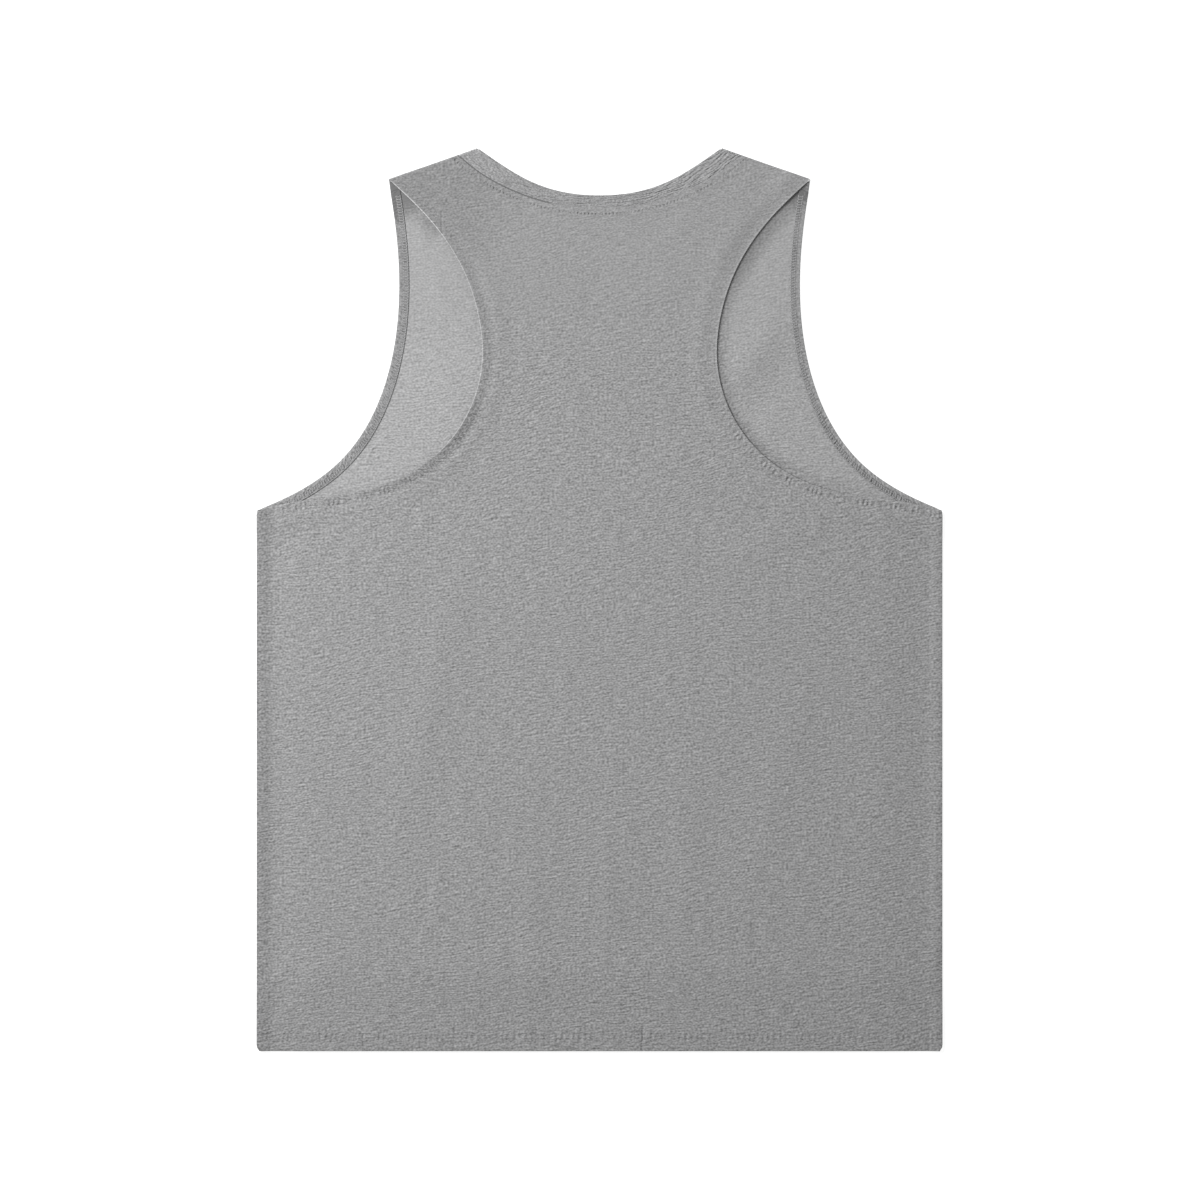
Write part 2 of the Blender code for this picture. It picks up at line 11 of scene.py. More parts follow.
import bmesh
import bpy
import numpy as np
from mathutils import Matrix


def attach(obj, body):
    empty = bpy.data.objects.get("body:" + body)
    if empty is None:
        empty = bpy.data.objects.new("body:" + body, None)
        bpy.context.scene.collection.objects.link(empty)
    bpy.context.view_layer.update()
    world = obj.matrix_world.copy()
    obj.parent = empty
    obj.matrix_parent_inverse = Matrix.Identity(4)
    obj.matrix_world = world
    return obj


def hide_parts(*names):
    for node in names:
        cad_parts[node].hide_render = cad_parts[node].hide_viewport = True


bl_info = {
    "name": "Racerback tank top",
    "version": (1, 0, 0),
    "blender": (4, 5, 0),
    "location": "3D View > Sidebar > Tank top",
    "description": "Builds a jersey tank top laid flat, with its hems, rib neckband and sewing",
    "category": "Object",
}

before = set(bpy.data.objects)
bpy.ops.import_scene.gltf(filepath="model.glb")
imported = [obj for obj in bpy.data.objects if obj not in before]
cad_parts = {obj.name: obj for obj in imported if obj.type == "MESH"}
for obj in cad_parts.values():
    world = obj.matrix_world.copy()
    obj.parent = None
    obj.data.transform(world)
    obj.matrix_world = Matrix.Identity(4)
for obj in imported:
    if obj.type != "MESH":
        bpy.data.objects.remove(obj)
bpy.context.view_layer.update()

MM = 0.001

# Driving sizes of the garment.
CHEST_WIDTH = 0.5588
LENGTH = 0.7355
UNDERARM_HEIGHT = 0.4408
UNDERARM_INSET = 0.001
CORNER_INSET = 0.0025
CORNER_HEIGHT = 0.005
NECK_HALF_WIDTH = 0.0995
SHOULDER_TIP_HALF_WIDTH = 0.1722
SHOULDER_SLOPE = math.radians(19.2)
SHOULDER_WRAP = 0.0105

# The room that each layer takes, a little less than in the solids, around jersey 0.6 mm thick.
JERSEY_WALL = 0.0007
RIB_WALL = 0.0013
GAP = 0.0002
SEAM_GAP = 0.00008
LAYER = JERSEY_WALL + GAP
ARMHOLE_HEM = 0.008
BOTTOM_HEM = 0.0145
HEM_EASE = 0.001
ARMHOLE_RAMP = 0.020
BOTTOM_RAMP = 0.045
BAND_WIDTH_AT_SHOULDER = 0.0164

Station = namedtuple("Station", "half_width height")

# Edges of the cloth on the right half, each from its outer or upper end to its inner or lower one.
FRONT_ARMHOLE = [
    Station(0.2596, 0.4489),
    Station(0.2107, 0.4815),
    Station(0.1871, 0.5141),
    Station(0.1696, 0.5630),
    Station(0.1634, 0.6282),
    Station(0.1671, 0.6771),
]
BACK_ARMHOLE = [
    Station(0.2490, 0.4472),
    Station(0.1969, 0.4554),
    Station(0.1500, 0.4733),
    Station(0.1115, 0.5124),
    Station(0.0959, 0.5620),
    Station(0.0975, 0.5915),
    Station(0.1133, 0.6404),
    Station(0.1459, 0.6853),
]
BACK_NECK_EDGE = [
    Station(0.0811, 0.7227),
    Station(0.0575, 0.7090),
    Station(0.0310, 0.7000),
    Station(0.0000, 0.6970),
]
BACK_NECK_SEAM = [
    Station(0.1015, 0.7188),
    Station(0.0705, 0.7012),
    Station(0.0375, 0.6905),
    Station(0.0000, 0.6869),
]
FRONT_NECK_EDGE = [
    Station(0.0915, 0.7000),
    Station(0.0700, 0.6600),
    Station(0.0380, 0.6370),
    Station(0.0000, 0.6300),
]
FRONT_NECK_SEAM = [
    Station(0.1060, 0.6960),
    Station(0.0835, 0.6540),
    Station(0.0460, 0.6265),
    Station(0.0000, 0.6180),
]

# Soft ridges laid from one plan point to another, all in millimetres.
Crease = namedtuple("Crease", "x0 y0 x1 y1 rise spread")
BACK_CREASES = [
    # The long folds of the body.
    Crease(-112, 395, -165, 170, 1.10, 17.0),
    Crease(-60, 210, -52, 50, 0.60, 13.0),
    Crease(10, 200, 4, 45, 0.50, 13.0),
    Crease(75, 230, 66, 60, 0.60, 14.0),
    Crease(165, 300, 120, 120, 0.80, 18.0),
    Crease(-215, 120, -130, 50, 0.80, 14.0),
    Crease(-205, 420, -150, 375, 0.60, 13.0),
    Crease(190, 440, 110, 400, 0.90, 15.0),
    Crease(229, 400, 217, 17, 0.50, 15.0),
    Crease(98, 375, 163, 229, 0.30, 20.0),
    Crease(-32, 412, 0, 367, 0.20, 16.0),
    # Ripples up from the hem, closest together below the middle.
    Crease(-141, 172, -156, 102, 0.14, 4.5),
    Crease(-124, 164, -141, 74, 0.22, 5.0),
    Crease(-97, 164, -118, 41, 0.18, 5.0),
    Crease(-81, 237, -107, 98, 0.22, 5.5),
    Crease(-67, 204, -81, 74, 0.14, 5.0),
    Crease(-49, 237, -57, 58, 0.20, 5.5),
    Crease(-27, 322, -38, 119, 0.26, 6.5),
    Crease(-31, 98, -27, 25, 0.14, 4.5),
    Crease(-8, 204, -18, 49, 0.16, 5.0),
    Crease(10, 212, 3, 74, 0.24, 5.5),
    Crease(18, 74, 15, 21, 0.18, 4.5),
    Crease(26, 204, 33, 74, 0.20, 5.0),
    Crease(45, 180, 51, 41, 0.15, 5.0),
    Crease(62, 237, 71, 41, 0.28, 6.0),
    Crease(82, 225, 86, 41, 0.20, 5.0),
    Crease(100, 139, 105, 33, 0.16, 5.0),
    Crease(118, 131, 121, 48, 0.34, 6.0),
    Crease(137, 155, 141, 33, 0.18, 5.5),
    Crease(163, 139, 163, 41, 0.14, 6.0),
    Crease(192, 147, 194, 49, 0.14, 6.0),
    Crease(74, 367, 59, 253, 0.16, 9.0),
    Crease(-65, 367, -75, 257, 0.18, 9.0),
    # The swell above the hem and the fan at its left corner.
    Crease(-179, 62, 33, 67, 0.55, 20.0),
    Crease(33, 67, 245, 53, 0.50, 22.0),
    Crease(-275, 41, -252, 78, 0.45, 6.0),
    Crease(-242, 51, -207, 84, 0.70, 14.0),
    Crease(-185, 78, -163, 33, 0.50, 6.5),
    Crease(-244, 39, -272, 13, 0.40, 6.0),
    Crease(-138, 64, -106, 31, 0.25, 6.0),
    # Drags below the left underarm.
    Crease(-207, 434, -234, 400, 0.36, 4.6),
    Crease(-181, 439, -216, 388, 0.36, 4.6),
    Crease(-154, 445, -194, 374, 0.42, 5.5),
    Crease(-133, 449, -167, 392, 0.25, 6.0),
    Crease(-244, 416, -252, 327, 0.40, 10.0),
    # The straps and the yoke.
    Crease(-150, 710, -97, 632, 0.30, 12.0),
    Crease(-81, 651, -88, 575, 0.30, 8.0),
    Crease(110, 697, 86, 587, 0.30, 12.0),
    Crease(-32, 673, 33, 667, 0.25, 9.0),
    # Short puckers off the right armhole's hem.
    Crease(112, 488, 100, 464, 0.30, 4.0),
    Crease(132, 473, 119, 446, 0.32, 4.0),
    Crease(157, 462, 146, 431, 0.28, 4.2),
    Crease(181, 456, 173, 422, 0.25, 4.5),
    Crease(206, 451, 201, 416, 0.20, 5.0),
]
# Where the front's inside shows, between its armholes and the back's.
FRONT_CREASES = [
    Crease(143, 596, 112, 551, 0.90, 11.0),
    Crease(150, 520, 132, 500, 0.50, 9.0),
    Crease(-140, 640, -118, 600, 0.60, 8.0),
    Crease(-128, 560, -120, 520, 0.60, 10.0),
    Crease(-152, 655, -138, 668, 0.40, 5.0),
]
# Crisp ones, too narrow for the mesh, pressed into the cloth's bump. Where the rise is negative they are
# troughs.
CRISP_FACE_CREASES = [
    Crease(34.6, -2, 35.4, 19, -0.60, 1.9),
    Crease(-118.6, -2, -117, 30, -0.45, 2.0),
    Crease(-192, -2, -192, 13, -0.70, 1.9),
    Crease(-51.8, 3, -51, 20, -0.28, 1.7),
    Crease(-128.3, 683, -128, 666, -0.40, 1.7),
]
CRISP_INSIDE_CREASES = [
    Crease(-190.5, 478, -185.6, 490.5, 0.36, 2.0),
    Crease(-185.6, 490.5, -173, 502, 0.28, 2.2),
]

# How a crease swells from its ends to its middle, and how soon it fades at the body's and windows' edges.
CREASE_END_SHARE = 0.35
CREASE_FADE = 0.012
WINDOW_FADE = 0.014

# The swell over the bottom hem, the ridge along each side seam and the cloth's loft between its seams.
HEM_SWELL = 0.0016
HEM_SWELL_HEIGHT = 0.058
HEM_SWELL_SPREAD = 0.024
SIDE_RIDGE = 0.0014
SIDE_RIDGE_TOP = 0.0015
SIDE_RIDGE_WIDTH = 0.0125
SIDE_SHARPNESS = 0.45
LOFT = 0.0009
LOFT_FROM = 0.013
LOFT_WIDTH = 0.034

# The bulge over the neck seam's allowance, and the dip along the seam, deepest where it gapes.
NECK_BULGE = 0.0005
NECK_BULGE_FULL = 0.0065
NECK_BULGE_GONE = 0.011
SEAM_DIP = 0.0004
SEAM_DIP_LEAST_SHARE = 0.2
SEAM_DIP_WIDTH = 0.0016
SEAM_DIP_MIDDLE = -0.078
SEAM_DIP_REACH = 0.052

# Puckers across the bottom hem, centred between its two rows of stitches.
PUCKER_SEED = 41
PUCKER_PITCH = 0.008
PUCKER_RISE = 0.00022
PUCKER_WIDTHS = (0.0018, 0.0034)
PUCKER_HEIGHT = 0.0117
PUCKER_REACH = 0.0055

# Light and shade that lie on the cloth by place. An entry is a share at the left of the garment and one
# at the right, and bands of distances in millimetres: in each band it grows from the first number to the
# second and fades from the third to the fourth.
Shade = namedtuple("Shade", "left right bands")
FAR = 1e5


def within(full, gone):
    """The band that is full up to one distance and gone at another."""
    return (-2 * FAR, -FAR, full, gone)


def beyond(start, full):
    """The band that starts at one distance and is full from another on."""
    return (start, full, FAR, 2 * FAR)


# Shares by which the tone of the back drops, and that of the front.
BACK_SHADES = (
    # Past the fold of each shoulder, where the cloth turns under.
    Shade(0.40, 0.40, {"from_tip": within(8, 36), "past_fold": beyond(0, 2)}),
    # The left shoulder.
    Shade(0.15, 0.0, {"from_tip": within(60, 125)}),
    # Over the doubled armhole hem: darker at the left, lighter at the right.
    Shade(0.13, -0.06, {"from_edge": within(8, 10), "height": (460, 510, 600, 660)}),
    # Toward the shoulders.
    Shade(0.045, 0.020, {"height": beyond(420, 670)}),
    # Where the left armhole's hem puckers.
    Shade(0.14, 0.0, {"from_edge": within(6, 14), "height": (446, 464, 520, 538)}),
    # Toward the bottom hem.
    Shade(0.05, 0.05, {"height": within(20, 150)}),
    # Along the left side.
    Shade(0.17, 0.0, {"from_side": within(0, 18)}),
)
FRONT_SHADES = (
    # Under each shoulder's fold, and most of all along the left one's.
    Shade(0.40, 0.40, {"from_tip": within(8, 36)}),
    Shade(0.32, 0.0, {"from_tip": (7, 19, 29, 41)}),
    # Beside the back's edge, in a strip that is wider in the upper part of the right window.
    Shade(0.05, 0.0, {"from_edge": within(0, 12)}),
    Shade(0.0, 0.26, {"from_wide_edge": within(0, 12), "height": beyond(462, 492)}),
    # The windows as a whole, and the upper part of the left one.
    Shade(0.015, 0.06, {}),
    Shade(0.045, 0.0, {"height": beyond(560, 600)}),
    # The broad crease across the right window, and that window's low end.
    Shade(0.0, 0.07, {"from_crease": within(4, 20)}),
    Shade(0.0, 0.10, {"from_edge": within(6, 12), "height": (452, 460, 476, 484)}),
    # The windows' upper corners, under the straps.
    Shade(0.24, 0.0, {"from_edge": within(1, 16), "from_tip": (34, 46, 54, 66)}),
    Shade(0.0, 0.13, {"from_edge": within(1, 16), "from_tip": (25, 58.75, 81.25, 115)}),
)
# How the back's folded edge takes the light: bright at the left, soft at the right, with a thin dark end.
RIM_LIGHT = (
    Shade(0.5, 0.0, {"from_tip": beyond(2, 7), "height": beyond(478, 498)}),
    Shade(0.5, 0.0, {"from_tip": beyond(2, 7), "height": beyond(655, 675)}),
    Shade(0.0, 1.05, {"height": beyond(520, 570)}),
    Shade(0.0, -1.0, {"from_middle": within(198, 207), "height": within(485, 530)}),
)
# Painted shade where the neck seam gapes.
SEAM_GAPE_SHADE = (Shade(1.0, 0.0, {"from_middle": (36, 46, 118, 128)}),)

# The middle line of the broad crease across the right window, along which shade is painted, and the
# heights from which that window's strip of painted shade is wider, with the share that it gains there.
WINDOW_CREASE = np.array(((0.160, 0.583), (0.122, 0.540)))
WIDE_FROM = 0.60
WIDE_RISE = 0.04
WIDE_SHARE = 2 / 3

# The rows of the sewing, in millimetres from the edge or seam.
ARMHOLE_ROWS = (4.2, 7.6)
NECK_ROWS = (1.2, 5.3)
HEM_ROWS = (9.8, 13.5)

# Where the rows start and end: away from the side, from the shoulder's fold and from the seam past it.
SIDE_MARGIN = 0.003
FOLD_MARGIN = 0.004
PAST_SHOULDER_SEAM = SHOULDER_WRAP + 0.002

# How much of its pitch a stitch fills. The looper's threads lie closer, and its rungs slant.
STITCH_FILL = 0.8
LOOPER_FILL = 0.9
RUNG_SLANT = 0.35
RUNG_OVERLAPS = (0.0002, -0.0003)

# The breadth and height of a thread's section as shares of the thread's own, how far it arches, how thick
# it is from one end to the other, and the sides of its section.
NEEDLE_SECTION = (1.0, 0.4)
LOOPER_SECTION = (2.0, 0.9)
THREAD_ARCH = 0.00012
THREAD_TAPER = np.array((0.45, 0.92, 1.0, 0.92, 0.45))
THREAD_SIDES = 6

# How wide and high the jersey's slubs are, in millimetres, the contrast of its tone and its relief.
Weave = namedtuple("Weave", "wide high contrast bump")
FACE_WEAVE = Weave(7.4, 1.8, 0.43, 0.60)
INSIDE_WEAVE = Weave(7.4, 1.8, 0.31, 0.50)

# The soft sheen that jersey and rib have in common.
KNIT = {"Sheen_Weight": 0.12, "Sheen_Roughness": 0.6, "Specular_IOR_Level": 0.25}

# Shares of tone along the hems. Where one doubles the cloth, in millimetres from the edge, less light
# comes through, which is painted as a darker tone. On the turned hems of the windows, painted light lies
# on the fold and the raw edge, and painted shade on the needle line, most of all in its low part, and on
# the looper's rungs.
DOUBLED_ARMHOLE = (8.0, 0.03)
DOUBLED_HEM = (14.5, 0.01)
TURNED_SHADE = 0.07
TURNED_FOLD_LIGHT = 0.24
TURNED_LOW_LIGHT = 0.10
RAW_EDGE_LIGHT = 0.26
RAW_STEP_LIGHT = 0.34
RUNG_SHADE = 0.16
NEEDLE_SHADE = 0.24
NEEDLE_LOW_SHADE = 0.42

# The back's folded edge: how far and how bright its painted rim of light is where it takes the light, how
# dark its painted shade is where it doesn't, how much lighter the cloth next to it is painted, and how
# dark the painted shade in the gaping neck seam is.
RIM_SHARE = 0.75
RIM_BRIGHTNESS = 2.6
RIM_SHADE = 0.40
RIM_SIDE_LIGHT = 0.32
GAPE_SHADE = 0.65

# From here on, measured from the seams and edges, the cloth has no sewing and takes a simpler material.
PLAIN_FROM = 0.022

# How finely each sheet is divided: its rows and columns, those next to the side, the distances of an
# armhole's last stations from its end, the columns along the neck and straps, and the steps round folds.
BACK_ROW = 0.0040
FRONT_ROW = 0.0048
COLUMN = 0.0025
SIDE_COLUMNS = (0.0, 0.0042, 0.0058, 0.0078)
BACK_LAST_STEPS = (0.0085, 0.0058, 0.0038)
FRONT_LAST_STEPS = (0.0040, 0.0020)
BACK_NECK_COLUMNS = 50
FRONT_NECK_COLUMNS = 60
STRAP_COLUMNS = 18
HEM_FOLD_STEPS = 6
SHOULDER_FOLD_STEPS = 8
SHOULDER_SEAM_STEPS = 3
SIDE_STEPS = 4

# How far the cloth turns at the side, over which lengths a hem's direction turns along the strap, how
# often rows are eased apart, the reach over which a curve's direction is taken, the distance up to which
# points are welded, and the angle from which an edge is sharp.
SIDE_TURN = math.radians(87)
STRAP_TURN = (0.008, 0.035)
EASING_ROUNDS = 24
TANGENT_REACH = 0.002
WELD = 0.000002
SHARP_EDGE = math.radians(55)

# The neckband's section: where its flat sides are divided, how far the upper one stands out there, as a
# share of the full height, and the steps round its fold.
BAND_SHARES = np.array((0.0, 0.05, 0.14, 0.3, 0.5, 0.7, 0.88, 1.0))
BAND_RISES = np.array((0.45, 0.75, 0.9, 0.96, 1.0, 1.0, 1.0, 1.0))
BAND_FOLD_STEPS = 8

# Directions and places on the plan, and in space, worked out from the driving sizes.
ALONG_SHOULDER = np.array((math.cos(SHOULDER_SLOPE), -math.sin(SHOULDER_SLOPE)))
DOWN_FROM_SHOULDER = np.array((-math.sin(SHOULDER_SLOPE), -math.cos(SHOULDER_SLOPE)))
NECK_POINT = np.array((NECK_HALF_WIDTH, LENGTH))
HALF_CHEST = CHEST_WIDTH / 2
TIP = NECK_POINT + ALONG_SHOULDER * (SHOULDER_TIP_HALF_WIDTH - NECK_HALF_WIDTH) / ALONG_SHOULDER[0]
SEAM_TOP = NECK_POINT + ALONG_SHOULDER * BAND_WIDTH_AT_SHOULDER
UNDERARM = np.array((HALF_CHEST - UNDERARM_INSET, UNDERARM_HEIGHT))
UP = np.array((0.0, 0.0, 1.0))
DOWN = -UP
TOWARD_HEM = np.array((0.0, -1.0, 0.0))
LOWER_MIDDLE = JERSEY_WALL / 2
FOLD_INSET = JERSEY_WALL / 2 + LAYER / 2

# The stations at which the armholes turn up.
FRONT_TURN = 1
BACK_TURN = 2

# Depths inside the outline at which the hems' outer layers are divided, down to the start of the fold,
# and those of the turned-in layers.
BACK_HEM_DEPTHS = np.array((0.0130, 0.0110, 0.0092, 0.0076, 0.0059, 0.0042, 0.0026, FOLD_INSET))
FRONT_HEM_DEPTHS = np.array((0.0100, 0.0080, 0.0060, 0.0040, 0.0025, FOLD_INSET))
ARMHOLE_TURNED_IN = np.array((0.0026, 0.0042, 0.0059, 0.0080))
BOTTOM_DEPTHS = np.array(
    (0.0255, 0.0235, 0.0215, 0.0195, 0.0175, 0.0155, 0.0135, 0.0117, 0.0098, 0.0076, 0.0054, 0.0032)
    + (FOLD_INSET,)
)
BOTTOM_TURNED_IN = np.array((0.0050, 0.0098, 0.0145))

# The stage: the floor's half width and level, the key light's place and breadth, and the camera's place.
FLOOR_REACH = 4.0
FLOOR_LEVEL = -0.0002
KEY_PLACE = (-1.45, 0.98, 1.6)
KEY_BREADTH = 1.3
CAMERA_PLACE = (0.0004, -0.0004)
WHITE = (1.0, 1.0, 1.0, 1.0)

Grid = namedtuple("Grid", "points cut turned")


def measure(name, description, default):
    """A setting in metres, fine enough for cloth and thread."""
    return bpy.props.FloatProperty(
        name=name, description=description, default=default, unit="LENGTH", precision=5
    )


def tint(name, description, default):
    """A setting that is a colour."""
    return bpy.props.FloatVectorProperty(
        name=name, description=description, default=default, subtype="COLOR"
    )


class TankTopCloth(bpy.types.PropertyGroup):
    """The cloth's thickness, relief and colours."""

    jersey: measure("Jersey thickness", "Wall of the panels", 0.0006)
    rib: measure("Rib thickness", "Wall of one layer of the neckband", 0.0006)
    relief: bpy.props.FloatProperty(
        name="Creases", description="Share of the creases' full height", default=1.0, min=0.0, max=2.0
    )
    face_colour: tint("Face", "Mean colour of the jersey's face", (0.306, 0.306, 0.308))
    inside_colour: tint("Inside", "Mean colour of the jersey's inside", (0.372, 0.372, 0.374))
    rib_colour: tint("Rib", "Mean colour of the neckband", (0.311, 0.311, 0.3135))


class TankTopSewing(bpy.types.PropertyGroup):
    """The stitches' sizes and colour."""

    neck_pitch: measure("Neck pitch", "Length of a stitch at the neck", 0.0029)
    armhole_pitch: measure("Armhole pitch", "Length of a stitch at the armholes", 0.00215)
    hem_pitch: measure("Hem pitch", "Length of a stitch at the bottom hem", 0.0029)
    thread: measure("Thread", "Breadth of a sewing thread", 0.00042)
    thread_colour: tint("Colour", "Colour of the sewing thread", (0.335, 0.335, 0.338))


class TankTopStage(bpy.types.PropertyGroup):
    """The floor, the lights and the camera."""

    floor_colour: tint("Floor", "Colour of the floor", (0.50, 0.50, 0.50))
    floor_glow: bpy.props.FloatProperty(
        name="Floor glow", description="Light that comes up through the floor", default=0.80, min=0.0
    )
    key_power: bpy.props.FloatProperty(
        name="Key light",
        description="Power of the soft light at the upper left",
        default=60.7,
        unit="POWER",
    )
    sky: bpy.props.FloatProperty(
        name="Sky", description="Strength of the light from all round", default=0.36, min=0.0
    )
    camera_height: measure("Camera height", "Camera's height over the floor", 2.4)
    frame_width: measure("Frame width", "Width of the floor in the view", 0.97824)


def fair_curve(stations, count=801):
    """A natural cubic spline through the stations: between two of them the straight line, plus the cubic
    sag that makes slope and bend run on through each one."""
    knots = np.array([tuple(station) for station in stations])
    at_knot = np.concatenate([[0.0], np.cumsum(np.linalg.norm(np.diff(knots, axis=0), axis=1))])
    step = np.diff(at_knot)
    slope = np.diff(knots, axis=0) / step[:, None]
    system = np.eye(len(knots))
    inner = np.arange(1, len(knots) - 1)
    system[inner, inner - 1] = step[:-1]
    system[inner, inner] = 2 * (step[:-1] + step[1:])
    system[inner, inner + 1] = step[1:]
    load = np.zeros_like(knots)
    load[inner] = 6 * np.diff(slope, axis=0)
    bend = np.linalg.solve(system, load)

    along = np.linspace(0.0, at_knot[-1], count)
    span = np.clip(np.searchsorted(at_knot, along, side="right") - 1, 0, len(step) - 1)
    size = step[span][:, None]
    after = (along - at_knot[span])[:, None] / size
    before = 1 - after
    straight = before * knots[span] + after * knots[span + 1]
    sag = (before**3 - before) * bend[span] + (after**3 - after) * bend[span + 1]
    return straight + sag * size**2 / 6


def half_neckline(start, stations):
    """The right half of a symmetrical neckline, from its outer end at start to the middle."""
    half = [tuple(start), *stations]
    other = [(-half_width, height) for half_width, height in half[-2::-1]]
    curve = fair_curve(half + other)
    return curve[: len(curve) // 2 + 1]


def lengths_of(curve):
    """The distance along the curve at each of its points."""
    return np.concatenate([[0.0], np.cumsum(np.linalg.norm(np.diff(curve, axis=0), axis=1))])


def at(curve, lengths):
    """The curve's plan points at these distances along it."""
    own = lengths_of(curve)
    return np.stack([np.interp(lengths, own, curve[:, axis]) for axis in (0, 1)], axis=-1)


def evenly(curve, count):
    """Plan points that divide the curve into this many equal steps."""
    return at(curve, np.linspace(0.0, lengths_of(curve)[-1], count + 1))


def line(start, end, shares):
    """Plan points at these shares of a straight line."""
    shares = np.asarray(shares)[:, None]
    return (1 - shares) * np.asarray(start) + shares * np.asarray(end)


def depth_below_shoulder(points):
    """How far plan points lie from the shoulder fold, square to it."""
    return (points - NECK_POINT) @ DOWN_FROM_SHOULDER


def length_at_depth(curve, depth):
    """The distance along the curve where it lies this deep below the shoulder fold."""
    depths = depth_below_shoulder(curve)
    order = np.argsort(depths)
    return float(np.interp(depth, depths[order], lengths_of(curve)[order]))


def nearest_length(curve, station):
    """The distance along the curve of its point nearest to the station."""
    return float(lengths_of(curve)[np.linalg.norm(curve - station, axis=1).argmin()])


def square_to(curve, lengths):
    """Unit directions square to the curve, to its left as it runs: into the cloth for every edge here."""
    before = at(curve, np.maximum(lengths - TANGENT_REACH, 0.0))
    after = at(curve, np.minimum(lengths + TANGENT_REACH, lengths_of(curve)[-1]))
    ahead = (after - before) / np.linalg.norm(after - before, axis=-1)[..., None]
    return np.stack([-ahead[..., 1], ahead[..., 0]], axis=-1)


def inward_of(curve, lengths, last_direction):
    """Directions into the cloth along an armhole, square to it, but along the side seam at the underarm
    and turned bit by bit to last_direction toward the other end, each long enough that the hem keeps its
    depth."""
    inward = square_to(curve, lengths)
    turned = last_direction / (inward @ last_direction)[:, None]
    inward += (turned - inward) * near(lengths[-1] - lengths, *STRAP_TURN)[:, None]
    down_seam = np.array((0.0, -1.0))
    inward[0] = down_seam / (square_to(curve, lengths[:1])[0] @ down_seam)
    return inward


def smooth_step(value):
    """0 below 0, 1 above 1, and a soft rise between."""
    clipped = np.clip(value, 0.0, 1.0)
    return clipped * clipped * (3 - 2 * clipped)


def near(distance, full, gone):
    """1 within the distance full, 0 past the distance gone."""
    return 1 - smooth_step((distance - full) / (gone - full))


def project(points, curve):
    """The plan distance from each point to a curve, and the length along the curve of the nearest place:
    the least over its segments of the distance to the segment."""
    flat = points.reshape(-1, 2)
    own = lengths_of(curve)
    nearest = np.full(len(flat), np.inf)
    along = np.zeros(len(flat))
    for start, end, length in zip(curve[:-1], curve[1:], own):
        run = end - start
        share = np.clip((flat - start) @ run / (run @ run), 0.0, 1.0)
        distance = np.linalg.norm(flat - start - share[:, None] * run, axis=1)
        closer = distance < nearest
        nearest = np.where(closer, distance, nearest)
        along = np.where(closer, length + share * np.linalg.norm(run), along)
    return nearest.reshape(points.shape[:-1]), along.reshape(points.shape[:-1])


def side_width(height):
    """Half the garment's width at a height, with its rounded hem corner and underarm corner."""
    at_hem = np.clip(1 - height / CORNER_HEIGHT, 0.0, 1.0)
    at_underarm = np.clip(1 - (UNDERARM_HEIGHT - height) / CORNER_HEIGHT, 0.0, 1.0)
    return HALF_CHEST - CORNER_INSET * at_hem**2 - UNDERARM_INSET * at_underarm**2


def side_top(height):
    """The middle of the back's outer layer at the side seam: one layer up, one more for each turned hem
    under it, and the rise of the seam's allowance."""
    below = UNDERARM_HEIGHT - height
    hems = 2 * near(height, BOTTOM_HEM + HEM_EASE, BOTTOM_HEM + BOTTOM_RAMP)
    hems = hems + near(below, 2 * ARMHOLE_HEM, 4 * ARMHOLE_HEM)
    hems = hems + near(below, ARMHOLE_HEM + HEM_EASE, ARMHOLE_HEM + ARMHOLE_RAMP)
    return LOWER_MIDDLE + LAYER * (1 + hems) + SIDE_RIDGE


def seam_x(height):
    """How far out the cloth lies flat: the side less the wall and the depth of its turn."""
    return side_width(height) - JERSEY_WALL / 2 - SIDE_SHARPNESS * (side_top(height) - LOWER_MIDDLE) / 2


# The cloth's edges, worked out once. The coarse ones serve to measure distances.
FRONT_ARMHOLE_CURVE = fair_curve([UNDERARM, *FRONT_ARMHOLE, TIP])
BACK_ARMHOLE_CURVE = fair_curve([UNDERARM, *BACK_ARMHOLE, TIP])
BACK_EDGE_CURVE = half_neckline(NECK_POINT, BACK_NECK_EDGE)
BACK_SEAM_CURVE = half_neckline(SEAM_TOP, BACK_NECK_SEAM)
FRONT_EDGE_CURVE = half_neckline(NECK_POINT, FRONT_NECK_EDGE)
FRONT_SEAM_CURVE = half_neckline(SEAM_TOP, FRONT_NECK_SEAM)
FRONT_BAND_EDGES = [evenly(curve, FRONT_NECK_COLUMNS) for curve in (FRONT_EDGE_CURVE, FRONT_SEAM_CURVE)]
FRONT_BAND_MIDDLE = sum(FRONT_BAND_EDGES) / 2
COARSE = 90
FRONT_ARMHOLE_LINE = evenly(FRONT_ARMHOLE_CURVE, COARSE)
BACK_ARMHOLE_LINE = evenly(BACK_ARMHOLE_CURVE, COARSE)
BACK_SEAM_LINE = evenly(BACK_SEAM_CURVE, COARSE)
FRONT_SEAM_LINE = evenly(FRONT_SEAM_CURVE, COARSE)


def ridges(points, creases):
    """The rise of soft ridges at points (x, height) of the whole garment: each has a bell-shaped section
    and swells from its ends to its middle."""
    rise = np.zeros(points.shape[:-1])
    for crease in creases:
        start = np.array((crease.x0, crease.y0)) * MM
        run = np.array((crease.x1, crease.y1)) * MM - start
        share = np.clip((points - start) @ run / (run @ run), 0.0, 1.0)
        away = np.linalg.norm(points - start - share[..., None] * run, axis=-1)
        swell = CREASE_END_SHARE + (1 - CREASE_END_SHARE) * np.sin(math.pi * share)
        rise += crease.rise * MM * swell * np.exp(-((away / (crease.spread * MM)) ** 2))
    return rise


